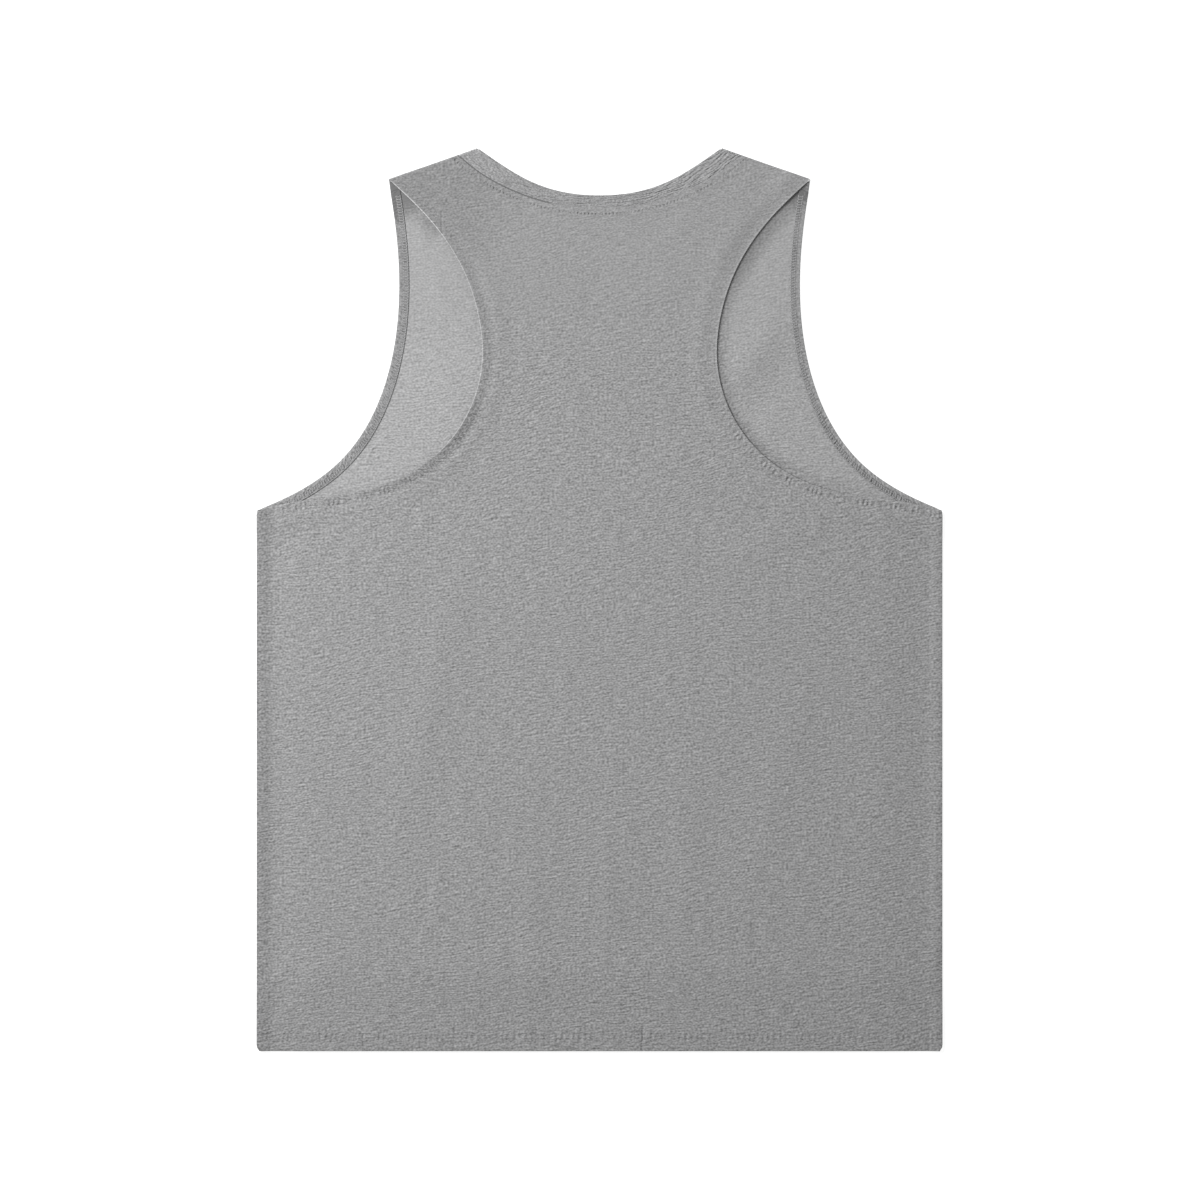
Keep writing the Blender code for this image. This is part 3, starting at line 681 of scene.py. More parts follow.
def hem_puckers(points):
    """Uneven puckers across the bottom hem, one about every eight millimetres, strongest between its two
    rows of stitches."""
    random = np.random.default_rng(PUCKER_SEED)
    count = int(CHEST_WIDTH / PUCKER_PITCH)
    centres = (np.arange(count) + random.uniform(-0.3, 0.3, count)) * PUCKER_PITCH - HALF_CHEST
    rises = PUCKER_RISE * random.uniform(0.1, 1.0, count) ** 1.5
    widths = random.uniform(*PUCKER_WIDTHS, count)
    across = np.exp(-(((points[..., :1] - centres) / widths) ** 2)) @ rises
    return across * np.exp(-(((points[..., 1] - PUCKER_HEIGHT) / PUCKER_REACH) ** 2))


def solid_level(plan):
    """The height of the middle of the back's lowest layer on the solids: it lies on the front, on the
    front's hems and on the front half of the neckband."""
    height = plan[..., 1]
    level = np.full(plan.shape[:-1], LAYER + JERSEY_WALL / 2)
    level += LAYER * near(project(plan, FRONT_ARMHOLE_LINE)[0], 2 * ARMHOLE_HEM, 4 * ARMHOLE_HEM)
    level += LAYER * near(height, BOTTOM_HEM + HEM_EASE, BOTTOM_HEM + BOTTOM_RAMP)
    to_band = project(plan, FRONT_BAND_MIDDLE)[0]
    level += (RIB_WALL - JERSEY_WALL) * near(to_band, BAND_WIDTH_AT_SHOULDER, 2 * BAND_WIDTH_AT_SHOULDER)
    return level


def relief():
    """The creases' share of their full height."""
    return bpy.context.scene.tank_top_cloth.relief


def jersey():
    """The wall of the panels."""
    return bpy.context.scene.tank_top_cloth.jersey


def back_level(plan, side):
    """The middle of the back's lowest layer: the solid's level, with a ridge over each side seam, a
    slight loft inside it, a swell over the neck seam's allowance and the creases."""
    height = plan[..., 1]
    points = plan * (side, 1.0)
    from_side = np.maximum(HALF_CHEST - plan[..., 0], 0.0)
    from_armhole = project(plan, BACK_ARMHOLE_LINE)[0]
    level = solid_level(plan)
    level += LAYER * near(from_armhole, ARMHOLE_HEM + HEM_EASE, ARMHOLE_HEM + ARMHOLE_RAMP)
    level += LAYER * near(height, BOTTOM_HEM + HEM_EASE, BOTTOM_HEM + BOTTOM_RAMP)
    level += SIDE_RIDGE * near(from_side, SIDE_RIDGE_TOP, SIDE_RIDGE_WIDTH)
    level += LOFT * smooth_step((np.minimum(from_side, 3 * from_armhole) - LOFT_FROM) / LOFT_WIDTH)
    from_neck = project(plan, BACK_SEAM_LINE)[0]
    below = depth_below_shoulder(plan)
    bulge = near(from_neck, NECK_BULGE_FULL, NECK_BULGE_GONE) * smooth_step(below / CREASE_FADE)
    level += NECK_BULGE * bulge
    gape = near(np.abs(points[..., 0] - SEAM_DIP_MIDDLE), SEAM_DIP_REACH / 2, SEAM_DIP_REACH)
    share = SEAM_DIP_LEAST_SHARE + (1 - SEAM_DIP_LEAST_SHARE) * gape
    level -= SEAM_DIP * near(from_neck, 0.0, SEAM_DIP_WIDTH) * share
    clear = np.minimum(np.minimum(from_side, below), height + CREASE_FADE)
    folds = ridges(points, BACK_CREASES) + hem_puckers(points)
    folds += HEM_SWELL * np.exp(-(((height - HEM_SWELL_HEIGHT) / HEM_SWELL_SPREAD) ** 2))
    return level + relief() * folds * smooth_step(clear / CREASE_FADE)


def front_level(plan, side):
    """The middle of the front's outer layer: flat on the ground, with soft creases in the windows that
    the back's armholes leave open."""
    level = np.full(plan.shape[:-1], LOWER_MIDDLE)
    inside_window = (project(plan, BACK_ARMHOLE_LINE)[0] / WINDOW_FADE).clip(0.0, 1.0)
    inside_hem = (project(plan, FRONT_ARMHOLE_LINE)[0] - ARMHOLE_HEM) / WINDOW_FADE
    window = smooth_step(inside_window) * smooth_step(inside_hem)
    return level + relief() * window * ridges(plan * (side, 1.0), FRONT_CREASES)


def spatial(plan, height, side):
    """Points in space over plan points of the right half, on the right (side 1) or the left (side -1)."""
    plan = np.asarray(plan, float)
    height = np.broadcast_to(height, plan.shape[:-1])
    return np.stack([side * plan[..., 0], plan[..., 1], height], axis=-1)


def patch(bottom, top, left, right):
    """Plan points of a four-sided sheet between its edges, as a Coons patch: [row up, column out]. Each
    point is what the two pairs of opposite edges give, less what the four corners give."""
    across_bottom, across_top, up_left, up_right = (
        lengths_of(edge) / lengths_of(edge)[-1] for edge in (bottom, top, left, right)
    )
    v = up_left[:, None]
    u = (1 - v) * across_bottom + v * across_top
    v = (1 - u) * up_left[:, None] + u * up_right[:, None]
    u, v = u[..., None], v[..., None]
    between_rows = (1 - v) * bottom[None] + v * top[None]
    between_columns = (1 - u) * left[:, None] + u * right[:, None]
    corners = (1 - v) * ((1 - u) * bottom[0] + u * bottom[-1]) + v * ((1 - u) * top[0] + u * top[-1])
    return between_rows + between_columns - corners


def eased(sheet):
    """The sheet with its inner points drawn a few times to the mean of their four neighbours, which
    opens rows that lean on each other."""
    for _ in range(EASING_ROUNDS):
        sheet[1:-1, 1:-1] = (sheet[:-2, 1:-1] + sheet[2:, 1:-1] + sheet[1:-1, :-2] + sheet[1:-1, 2:]) / 4
    return sheet


def inside(outline, inward, depth):
    """The outline's points moved into the cloth by the depth, the first one along the side seam."""
    points = outline + inward * depth
    points[0, 0] = seam_x(points[0, 1])
    return points


def over_shoulder(crossing, top, bottom, wall):
    """Rows of points round the shoulder fold, from the top layer down to the bottom one: half circles
    whose outer side, half a wall further out, reaches the fold's line at each crossing."""
    radius = (np.asarray(top) - bottom)[None, :, None] / 2
    turn = np.linspace(math.pi / 2, -math.pi / 2, SHOULDER_FOLD_STEPS + 1)[:, None, None]
    plan = crossing[None] + DOWN_FROM_SHOULDER * (wall / 2 + radius * (1 - np.cos(turn)))
    height = bottom + radius[..., 0] * (1 + np.sin(turn[..., 0]))
    return plan, height, turn[:, 0, 0]


def graded(first_steps, total, pitch):
    """Distances from 0 to total: the first few given, then equal steps of about the pitch."""
    rest = total - first_steps[-1]
    count = max(1, round(rest / pitch))
    return np.concatenate([first_steps, first_steps[-1] + np.linspace(0.0, rest, count + 1)[1:]])


def armhole_stations(curve, turn_station, end, row, last_steps):
    """The armhole's stations up to the length end: their plan points, their directions into the cloth,
    and the number of the one where the armhole turns up. They are a column apart up to there, a row apart
    above, and the last ones stand at the given distances from the end."""
    turn_length = nearest_length(curve, turn_station)
    under = graded(SIDE_COLUMNS, turn_length, COLUMN)
    above = graded((turn_length,), end - last_steps[0], row)
    lengths = np.concatenate([under, above[1:], end - np.array((*last_steps[1:], 0.0))])
    return at(curve, lengths), inward_of(curve, lengths, -ALONG_SHOULDER), len(under) - 1


def hem_row(columns, height):
    """A plan row of the bottom hem, drawn in where the hem's corner is rounded."""
    drawn_in = columns * seam_x(height) / seam_x(BOTTOM_DEPTHS[0])
    return np.stack([drawn_in, np.full(len(columns), height)], axis=1)


def panel_patches(bottom, armhole, turn, top, row):
    """A panel's two plan patches on one side: the body, whose outer columns end at the armhole, and the
    part above the armhole's turn."""
    corner = armhole[turn]
    middle = line((0.0, corner[1]), corner, np.linspace(0.0, 1.0, len(top)))
    count = round((corner[1] - bottom[0, 1]) / row)
    seam_heights = np.linspace(bottom[0, 1], armhole[0, 1], count + 1)
    seam = np.stack([seam_x(seam_heights), seam_heights], axis=1)
    seam[0], seam[-1] = bottom[-1], armhole[0]
    centre_line = line(bottom[0], middle[0], np.linspace(0.0, 1.0, count + 1))
    body = patch(bottom, np.concatenate([middle, armhole[:turn][::-1]]), centre_line, seam)
    edge = armhole[turn:]
    shares = lengths_of(edge) / lengths_of(edge)[-1]
    upper = eased(patch(middle, top, line(middle[0], top[0], shares), edge))
    return body, upper


def laid(plan, level, side):
    """A grid of the flat cloth over its plan points."""
    return Grid(spatial(plan, level(plan, side), side), plan * (side, 1.0), np.zeros(plan.shape[:-1]))


def with_hem(outer, cut, depths, turned_in, into, outward, cut_outward):
    """A strip of cloth with its hem: its outer layer [station, depth], a half circle from there to the
    turned-in layer, and that layer, which lies one layer from the outer one at each depth."""
    edge = outer[:, -1]
    angles = np.linspace(0.0, math.pi, HEM_FOLD_STEPS + 1)[None, :, None]
    centre = (edge + into * LAYER / 2)[:, None]
    fold = centre + LAYER / 2 * (np.sin(angles) * outward[:, None] - np.cos(angles) * into[:, None])
    units = np.eye(len(depths))
    weights = np.stack([np.interp(turned_in, depths[::-1], unit[::-1]) for unit in units], axis=1)
    turned = np.einsum("td,sdx->stx", weights, outer) + into[:, None] * LAYER
    outline = cut[:, -1] + cut_outward * depths[-1]
    beyond = np.concatenate([np.linspace(-depths[-1], depths[-1], HEM_FOLD_STEPS + 1)[1:], turned_in])
    cut_beyond = outline[:, None] + cut_outward[:, None] * beyond[None, :, None]
    points = np.concatenate([outer[:, :-1], fold, turned], axis=1)
    past_fold = np.arange(points.shape[1]) > len(depths) - 1 + HEM_FOLD_STEPS / 2
    flags = np.broadcast_to(past_fold.astype(float), points.shape[:2])
    return Grid(points, np.concatenate([cut, cut_beyond], axis=1), flags)


def bottom_hem(columns, level, turned_under, side):
    """A panel's bottom hem, [column, step]. Its outer layer lies over a hem that is turned in under it,
    or flat with its hem on top."""
    plan = np.stack([hem_row(columns, depth) for depth in BOTTOM_DEPTHS], axis=1)
    outer = spatial(plan, level(plan, side), side)
    into = DOWN if turned_under else UP
    directions = (np.tile(one, (len(columns), 1)) for one in (into, TOWARD_HEM, TOWARD_HEM[:2]))
    return with_hem(outer, plan * (side, 1.0), BOTTOM_DEPTHS, BOTTOM_TURNED_IN, *directions)


def round_side(points, cut, turned, side):
    """The outer edge of a grid carried round the garment's side to the side seam: flattened quarter
    circles about the level midway between the panels, one for each point of the edge."""
    height = points[:, 1]
    middle = (side_top(height) + LOWER_MIDDLE) / 2
    radius = points[:, 2] - middle
    turn = np.linspace(0.0, SIDE_TURN, SIDE_STEPS + 1)
    x = points[:, :1] + side * SIDE_SHARPNESS * np.abs(radius)[:, None] * np.sin(turn)
    z = middle[:, None] + radius[:, None] * np.cos(turn)
    rounded = np.stack([x, np.broadcast_to(height[:, None], x.shape), z], axis=-1)
    rounded[:, 0] = points
    along = side * np.abs(radius)[:, None] * turn
    round_cut = np.stack([cut[:, :1] + along, np.broadcast_to(cut[:, 1:], x.shape)], axis=-1)
    return Grid(rounded, round_cut, np.broadcast_to(turned[:, None], x.shape))


def shoulder_seam(depth):
    """The plan points where a seam this deep below the shoulder fold meets the front neck seam and the
    armhole."""
    neck = at(FRONT_SEAM_CURVE, [length_at_depth(FRONT_SEAM_CURVE, depth)])[0]
    arm = at(FRONT_ARMHOLE_CURVE, [length_at_depth(FRONT_ARMHOLE_CURVE, depth)])[0]
    return neck, arm


def wrapped(crossing, top, seam, side):
    """Cloth from where it starts to turn over the shoulder, round the fold and down to its seam: its
    points [row, column], its cut, and the rows' directions toward the fold's centre."""
    plan, height, turn = over_shoulder(crossing, top, LOWER_MIDDLE, JERSEY_WALL)
    shares = np.linspace(0.0, 1.0, SHOULDER_SEAM_STEPS + 1)[1:, None, None]
    flat = (1 - shares) * plan[-1][None] + shares * seam[None]
    points = np.concatenate([spatial(plan, height, side), spatial(flat, LOWER_MIDDLE, side)])
    steps = np.linalg.norm(np.diff(points, axis=0), axis=-1)
    run = np.concatenate([np.zeros((1, points.shape[1])), np.cumsum(steps, axis=0)])
    cut = (plan[0][None] - DOWN_FROM_SHOULDER * run[..., None]) * (side, 1.0)
    into_plan = DOWN_FROM_SHOULDER * np.cos(turn)[:, None]
    into = spatial(into_plan, -np.sin(turn), side)
    return points, cut, np.concatenate([into, np.tile(UP, (len(flat), 1))])


def back_armhole_strip(outline, inward, side):
    """The back's armhole hem on one side, from the underarm over the shoulder to its seam: [station,
    step]."""
    plan = np.stack([inside(outline[:-1], inward[:-1], depth) for depth in BACK_HEM_DEPTHS], axis=1)
    flat = spatial(plan, back_level(plan, side), side)
    crossing = TIP + inward[-1] * BACK_HEM_DEPTHS[:, None]
    seam = shoulder_seam(SHOULDER_WRAP)[1] + inward[-1] * BACK_HEM_DEPTHS[:, None]
    over, over_cut, into = wrapped(crossing, back_level(crossing, side), seam, side)
    outward = np.concatenate([-inward[:-1], np.tile(ALONG_SHOULDER, (len(over), 1))])
    outward /= np.linalg.norm(outward, axis=1)[:, None]
    return with_hem(
        np.concatenate([flat, over]),
        np.concatenate([plan * (side, 1.0), over_cut]),
        BACK_HEM_DEPTHS,
        ARMHOLE_TURNED_IN,
        np.concatenate([np.tile(DOWN, (len(flat), 1)), into]),
        spatial(outward, 0.0, side),
        outward * (side, 1.0),
    )


def body_columns(armhole, turn, inner_count):
    """How far out each column of the body stands: even ones below the neck, then one below each station
    of the armhole, out to the side seam."""
    inner = np.linspace(0.0, armhole[turn, 0], inner_count + 1)
    return np.concatenate([inner, armhole[turn - 1 : 0 : -1, 0], [seam_x(BOTTOM_DEPTHS[0])]])


def rounded_sides(body, strip, hem, side):
    """The turns at the side of a panel's body, of its armhole hem's first station and of its bottom hem's
    last column."""
    return [
        round_side(body.points[:, -1], body.cut[:, -1], body.turned[:, -1], side),
        round_side(strip.points[0], strip.cut[0], strip.turned[0], side),
        round_side(hem.points[-1], hem.cut[-1], hem.turned[-1], side),
    ]


def back_half(side):
    """The back's grids on one side, with its hems and its shoulder's wrap onto the front side."""
    end = lengths_of(BACK_ARMHOLE_CURVE)[-1]
    outline, inward, turn = armhole_stations(
        BACK_ARMHOLE_CURVE, BACK_ARMHOLE[BACK_TURN], end, BACK_ROW, BACK_LAST_STEPS
    )
    strip = back_armhole_strip(outline, inward, side)

    foot = inward[-1] * BACK_HEM_DEPTHS[0]
    shares = np.linspace(0.0, 1.0, STRAP_COLUMNS + 1)
    crossing = line(SEAM_TOP, TIP + foot, shares)
    seam_neck, seam_arm = shoulder_seam(SHOULDER_WRAP)
    seam = line(seam_neck, seam_arm + foot, shares)
    strap_points, strap_cut, _ = wrapped(crossing, back_level(crossing, side), seam, side)
    strap_top = strap_points[0, :, :2] * (side, 1.0)

    neck = evenly(BACK_SEAM_CURVE, BACK_NECK_COLUMNS)[::-1]
    top = np.concatenate([neck[:-1], strap_top])
    armhole = np.concatenate([inside(outline[:-1], inward[:-1], BACK_HEM_DEPTHS[0]), strap_top[-1:]])
    columns = body_columns(armhole, turn, len(top) - 1)
    body, upper = panel_patches(hem_row(columns, BOTTOM_DEPTHS[0]), armhole, turn, top, BACK_ROW)
    body, upper = laid(body, back_level, side), laid(upper, back_level, side)
    upper.points[-1, BACK_NECK_COLUMNS:] = strap_points[0]
    upper.points[-1, -1] = strip.points[len(outline) - 1, 0]
    strap_points[:, -1] = strip.points[len(outline) - 1 :, 0]
    hem = bottom_hem(columns, back_level, True, side)
    strap = Grid(strap_points, strap_cut, np.zeros(strap_cut.shape[:2]))
    return [body, upper, strip, strap, hem, *rounded_sides(body, strip, hem, side)]


def front_half(side):
    """The front's grids on one side: its outer layer lies flat on the ground and its hems lie on it."""
    seam_neck, seam_arm = shoulder_seam(SHOULDER_WRAP + GAP)
    end = nearest_length(FRONT_ARMHOLE_CURVE, seam_arm)
    outline, inward, turn = armhole_stations(
        FRONT_ARMHOLE_CURVE, FRONT_ARMHOLE[FRONT_TURN], end, FRONT_ROW, FRONT_LAST_STEPS
    )
    plan = np.stack([inside(outline, inward, depth) for depth in FRONT_HEM_DEPTHS], axis=1)
    outer = spatial(plan, front_level(plan, side), side)
    outward = -inward / np.linalg.norm(inward, axis=1)[:, None]
    strip = with_hem(
        outer,
        plan * (side, 1.0),
        FRONT_HEM_DEPTHS,
        ARMHOLE_TURNED_IN,
        np.tile(UP, (len(plan), 1)),
        spatial(outward, 0.0, side),
        outward * (side, 1.0),
    )
    armhole = plan[:, 0]
    shoulder = line(seam_neck, armhole[-1], np.linspace(0.0, 1.0, STRAP_COLUMNS + 1))
    top = np.concatenate([front_neck_stations(FRONT_SEAM_CURVE)[::-1][:-1], shoulder])
    columns = body_columns(armhole, turn, len(top) - 1)
    body, upper = panel_patches(hem_row(columns, BOTTOM_DEPTHS[0]), armhole, turn, top, FRONT_ROW)
    body, upper = laid(body, front_level, side), laid(upper, front_level, side)
    hem = bottom_hem(columns, front_level, False, side)
    return [body, upper, strip, hem, *rounded_sides(body, strip, hem, side)]


def front_neck_stations(curve):
    """Plan points along the front half of the neck, from the shoulder seam to the middle."""
    start = length_at_depth(curve, SHOULDER_WRAP + GAP)
    return at(curve, np.linspace(start, lengths_of(curve)[-1], FRONT_NECK_COLUMNS + 1))


def gapped(seam, edge):
    """The band's plan points at its seam, a gap away from the panels' own, toward its folded edge."""
    across = edge - seam
    return seam + SEAM_GAP * across / np.linalg.norm(across, axis=1)[:, None]


def band_half(side):
    """The neckband on one side, from the middle of the back over the shoulder to the middle of the
    front: points along its seam and along its folded edge, and the direction of its upper side."""
    rise = (RIB_WALL - JERSEY_WALL) / 2
    back_seam = evenly(BACK_SEAM_CURVE, BACK_NECK_COLUMNS)[::-1][:-1]
    back_edge = evenly(BACK_EDGE_CURVE, BACK_NECK_COLUMNS)[::-1][:-1]
    below = depth_below_shoulder(back_seam)
    folds = relief() * ridges(back_seam * (side, 1.0), BACK_CREASES) * smooth_step(below / CREASE_FADE)
    back_height = solid_level(back_seam) + LOFT + folds + rise
    front_seam = front_neck_stations(FRONT_SEAM_CURVE)
    front_edge = front_neck_stations(FRONT_EDGE_CURVE)

    crossing = np.stack([SEAM_TOP - ALONG_SHOULDER * SEAM_GAP, NECK_POINT])
    top = np.repeat(solid_level(SEAM_TOP[None]) + LOFT + rise, 2)
    plan, height, turn = over_shoulder(crossing, top, RIB_WALL / 2, RIB_WALL)
    into = spatial(DOWN_FROM_SHOULDER * np.cos(turn)[:, None], -np.sin(turn), side)

    def round_neck(back, over_fold, over_height, front):
        """The band's points behind the neck, over the shoulder's fold and in front of it."""
        parts = (back, back_height), (over_fold, over_height), (front, RIB_WALL / 2)
        return np.concatenate([spatial(points, level, side) for points, level in parts])

    seam = round_neck(
        gapped(back_seam, back_edge), plan[:, 0], height[:, 0], gapped(front_seam, front_edge)
    )
    edge = round_neck(back_edge, plan[:, 1], height[:, 1], front_edge)
    upper = np.concatenate([np.tile(UP, (len(back_seam), 1)), -into, np.tile(DOWN, (len(front_seam), 1))])
    return seam, edge, upper


def neckband_grid(wall):
    """The loop of the neckband's folded strip, [section, point round it]: from the seam along the upper
    side, a half circle at the folded edge, and back to the seam along the lower side."""
    right, left = band_half(1), band_half(-1)
    loop = (np.concatenate([one, other[-2:0:-1]]) for one, other in zip(right, left))
    rolled = (np.roll(one, FRONT_NECK_COLUMNS + len(right[0]), axis=0) for one in loop)
    seam, edge, upper = (np.concatenate([one, one[:1]])[:, None] for one in rolled)
    width = np.linalg.norm(edge - seam, axis=-1)[..., None]
    across = (edge - seam) / width
    half = (RIB_WALL - wall) / 2
    inset = RIB_WALL / 2
    run = (width - inset) * BAND_SHARES[None, :, None]
    top = seam + across * run + upper * half * BAND_RISES[None, :, None]
    turns = np.linspace(math.pi / 2, -math.pi / 2, BAND_FOLD_STEPS + 1)[None, 1:-1, None]
    fold = edge - across * inset + half * (np.cos(turns) * across + np.sin(turns) * upper)
    bottom = (seam + across * run - upper * half)[:, ::-1]
    points = np.concatenate([top, fold, bottom], axis=1)
    along = lengths_of(seam[:, 0])
    round_it = np.cumsum(np.linalg.norm(np.diff(points, axis=1), axis=-1).mean(axis=0))
    round_it = np.concatenate([[0.0], round_it])
    cut = np.stack(np.meshgrid(along, round_it, indexing="ij"), axis=-1)
    return Grid(points, cut, np.zeros(points.shape[:2])), along[-1], round_it[-1]


def quads_of(rows, columns, start):
    """The faces of one grid of points, whose first point has this index."""
    index = start + np.arange(rows * columns).reshape(rows, columns)
    corners = index[:-1, :-1], index[:-1, 1:], index[1:, 1:], index[1:, :-1]
    return np.stack(corners, axis=-1).reshape(-1, 4)


def give_attribute(mesh, name, *columns):
    """Three numbers for each point of the mesh, as a vector attribute."""
    attribute = mesh.attributes.new(name, "FLOAT_VECTOR", "POINT")
    attribute.data.foreach_set("vector", np.column_stack(columns).astype(np.float32).ravel())


def shaded(shades, distances, left):
    """The sum of the shades at each point. Each gives the share of the point's side of the garment, times
    how far the point is within its bands."""
    total = np.zeros(len(left))
    for shade in shades:
        share = np.where(left, shade.left, shade.right)
        for name, (start, full, last, gone) in shade.bands.items():
            share = share * smooth_step((distances[name] - start) / (full - start))
            share = share * near(distances[name], last, gone)
        total += share
    return total


def light_on(cut, shades):
    """How light and shade are painted on a panel, at each point of its cut: how far painted shade drops
    its tone, how the back's folded edge takes a painted rim of light, bright above 0 and dark below, and
    how dark the painted shade in the gaping neck seam is."""
    plan = np.abs(cut)
    height = plan[:, 1]
    from_edge = project(plan, BACK_ARMHOLE_LINE)[0]
    distances = {
        "height": height,
        "from_middle": plan[:, 0],
        "from_side": HALF_CHEST - plan[:, 0],
        "from_tip": np.linalg.norm(plan - TIP, axis=1),
        "past_fold": -depth_below_shoulder(plan),
        "from_edge": from_edge,
        "from_wide_edge": from_edge / (1 + WIDE_SHARE * smooth_step((height - WIDE_FROM) / WIDE_RISE)),
        "from_crease": project(plan, WINDOW_CREASE)[0],
    }
    distances = {name: distance / MM for name, distance in distances.items()}
    left = cut[:, 0] < 0
    return [shaded(layer, distances, left) for layer in (shades, RIM_LIGHT, SEAM_GAPE_SHADE)]


def mesh_of(name, points, faces, looks):
    """A mesh of points over the plan, set so that the middle of the garment's length is at the origin."""
    mesh = bpy.data.meshes.new(name)
    mesh.from_pydata(points - (0.0, LENGTH / 2, 0.0), [], faces)
    for look in looks:
        mesh.materials.append(look)
    return mesh


def weld_and_face(mesh, weld=None, first_normal=0):
    """Welds points closer than the distance, turns all faces to one side, the first one up or down where
    first_normal says so, and shades the mesh smooth."""
    work = bmesh.new()
    work.from_mesh(mesh)
    if weld is not None:
        bmesh.ops.remove_doubles(work, verts=work.verts, dist=weld)
    bmesh.ops.recalc_face_normals(work, faces=work.faces)
    work.faces.ensure_lookup_table()
    if work.faces[0].normal.z * first_normal < 0:
        bmesh.ops.reverse_faces(work, faces=work.faces)
    work.to_mesh(mesh)
    work.free()
    mesh.shade_smooth()


def placed(name, data):
    """An object of the scene with this mesh, lamp or camera."""
    made = bpy.data.objects.new(name, data)
    bpy.context.scene.collection.objects.link(made)
    return made


# The curves from which a panel's sewing is measured, at its armhole and its neck seam, and its painted
# shades. The armhole's is carried on over the shoulder.
Guide = namedtuple("Guide", "armhole neck shades")
OVER_SHOULDER = 0.03


def extended(curve):
    """An armhole's curve carried on over the shoulder."""
    return np.concatenate([curve, curve[-1:] - DOWN_FROM_SHOULDER * OVER_SHOULDER])


def mark_panel(mesh, guide, cut, faces):
    """Gives a panel's mesh the painted light and shade on it and its distances along and from the
    armhole's edge and the neck seam, and its plain material to the faces that are far from all sewing."""
    give_attribute(mesh, "light", *(share * MM for share in light_on(cut, guide.shades)))
    from_sewing = cut[:, 1]
    for attribute, curve in (("armhole", guide.armhole), ("neck", guide.neck)):
        away, along = project(np.abs(cut), curve)
        give_attribute(mesh, attribute, along, away, np.sign(cut[:, 0]) * MM)
        from_sewing = np.minimum(from_sewing, away)
    far = from_sewing[faces].min(axis=1) > PLAIN_FROM
    mesh.polygons.foreach_set("material_index", far * 2)


def cloth(name, grids, wall, first_normal, looks, guide=None, weld=WELD):
    """One thin closed shell from grids of points, welded where they share an edge. It carries its cut, in
    metres, and where it is turned in."""
    points, cut, turned = (
        np.concatenate([getattr(grid, part).reshape(-1, size) for grid in grids])
        for part, size in (("points", 3), ("cut", 2), ("turned", 1))
    )
    faces, start = [], 0
    for grid in grids:
        rows, columns = grid.points.shape[:2]
        faces.append(quads_of(rows, columns, start))
        start += rows * columns
    faces = np.concatenate(faces)
    mesh = mesh_of(name, points, faces.tolist(), looks)
    give_attribute(mesh, "cut", cut, turned * MM)
    if guide:
        mark_panel(mesh, guide, cut, faces)
    weld_and_face(mesh, weld, first_normal)
    piece = placed(name, mesh)
    shell = piece.modifiers.new("wall", "SOLIDIFY")
    shell.thickness = wall
    shell.offset = 0.0
    shell.material_offset = shell.material_offset_rim = min(len(looks) - 1, 1)
    made = bpy.data.meshes.new_from_object(piece.evaluated_get(bpy.context.evaluated_depsgraph_get()))
    made.name = name
    piece.modifiers.clear()
    piece.data = made
    bpy.data.meshes.remove(mesh)
    made.set_sharp_from_angle(angle=SHARP_EDGE)
    return piece


def threads(name, stitches, breadth, height, look):
    """Short stitches as one mesh. Each runs straight from its start to its end, arched along its up
    direction as a sine, with an oval section that narrows to both ends."""
    starts, ends, ups = (np.concatenate(part) for part in zip(*stitches))
    share = np.linspace(0.0, 1.0, len(THREAD_TAPER))
    ahead = ends - starts
    length = np.linalg.norm(ahead, axis=1)[:, None]
    across = np.cross(ahead / length, ups)
    across /= np.linalg.norm(across, axis=1)[:, None]
    middle = starts[:, None] + ahead[:, None] * share[:, None]
    middle = middle + ups[:, None] * (THREAD_ARCH * (np.sin(math.pi * share) - 0.5))[:, None]
    angle = np.arange(THREAD_SIDES) * math.tau / THREAD_SIDES
    oval = breadth / 2 * np.cos(angle)[:, None] * across[:, None, None]
    oval = oval + height / 2 * np.sin(angle)[:, None] * ups[:, None, None]
    points = middle[:, :, None] + THREAD_TAPER[None, :, None, None] * oval

    rings = np.arange(len(THREAD_TAPER) * THREAD_SIDES).reshape(-1, THREAD_SIDES)
    nexts = np.roll(rings, -1, axis=1)
    sides = np.stack([rings[:-1], nexts[:-1], nexts[1:], rings[1:]], axis=-1).reshape(-1, 4)
    caps = np.stack([rings[0, ::-1], rings[-1]])
    first = (np.arange(len(starts)) * rings.size)[:, None, None]
    faces = [(part + first).reshape(-1, part.shape[1]).tolist() for part in (sides, caps)]
    mesh = mesh_of(name, points.reshape(-1, 3), sum(faces, []), [look])
    weld_and_face(mesh)
    return placed(name, mesh)


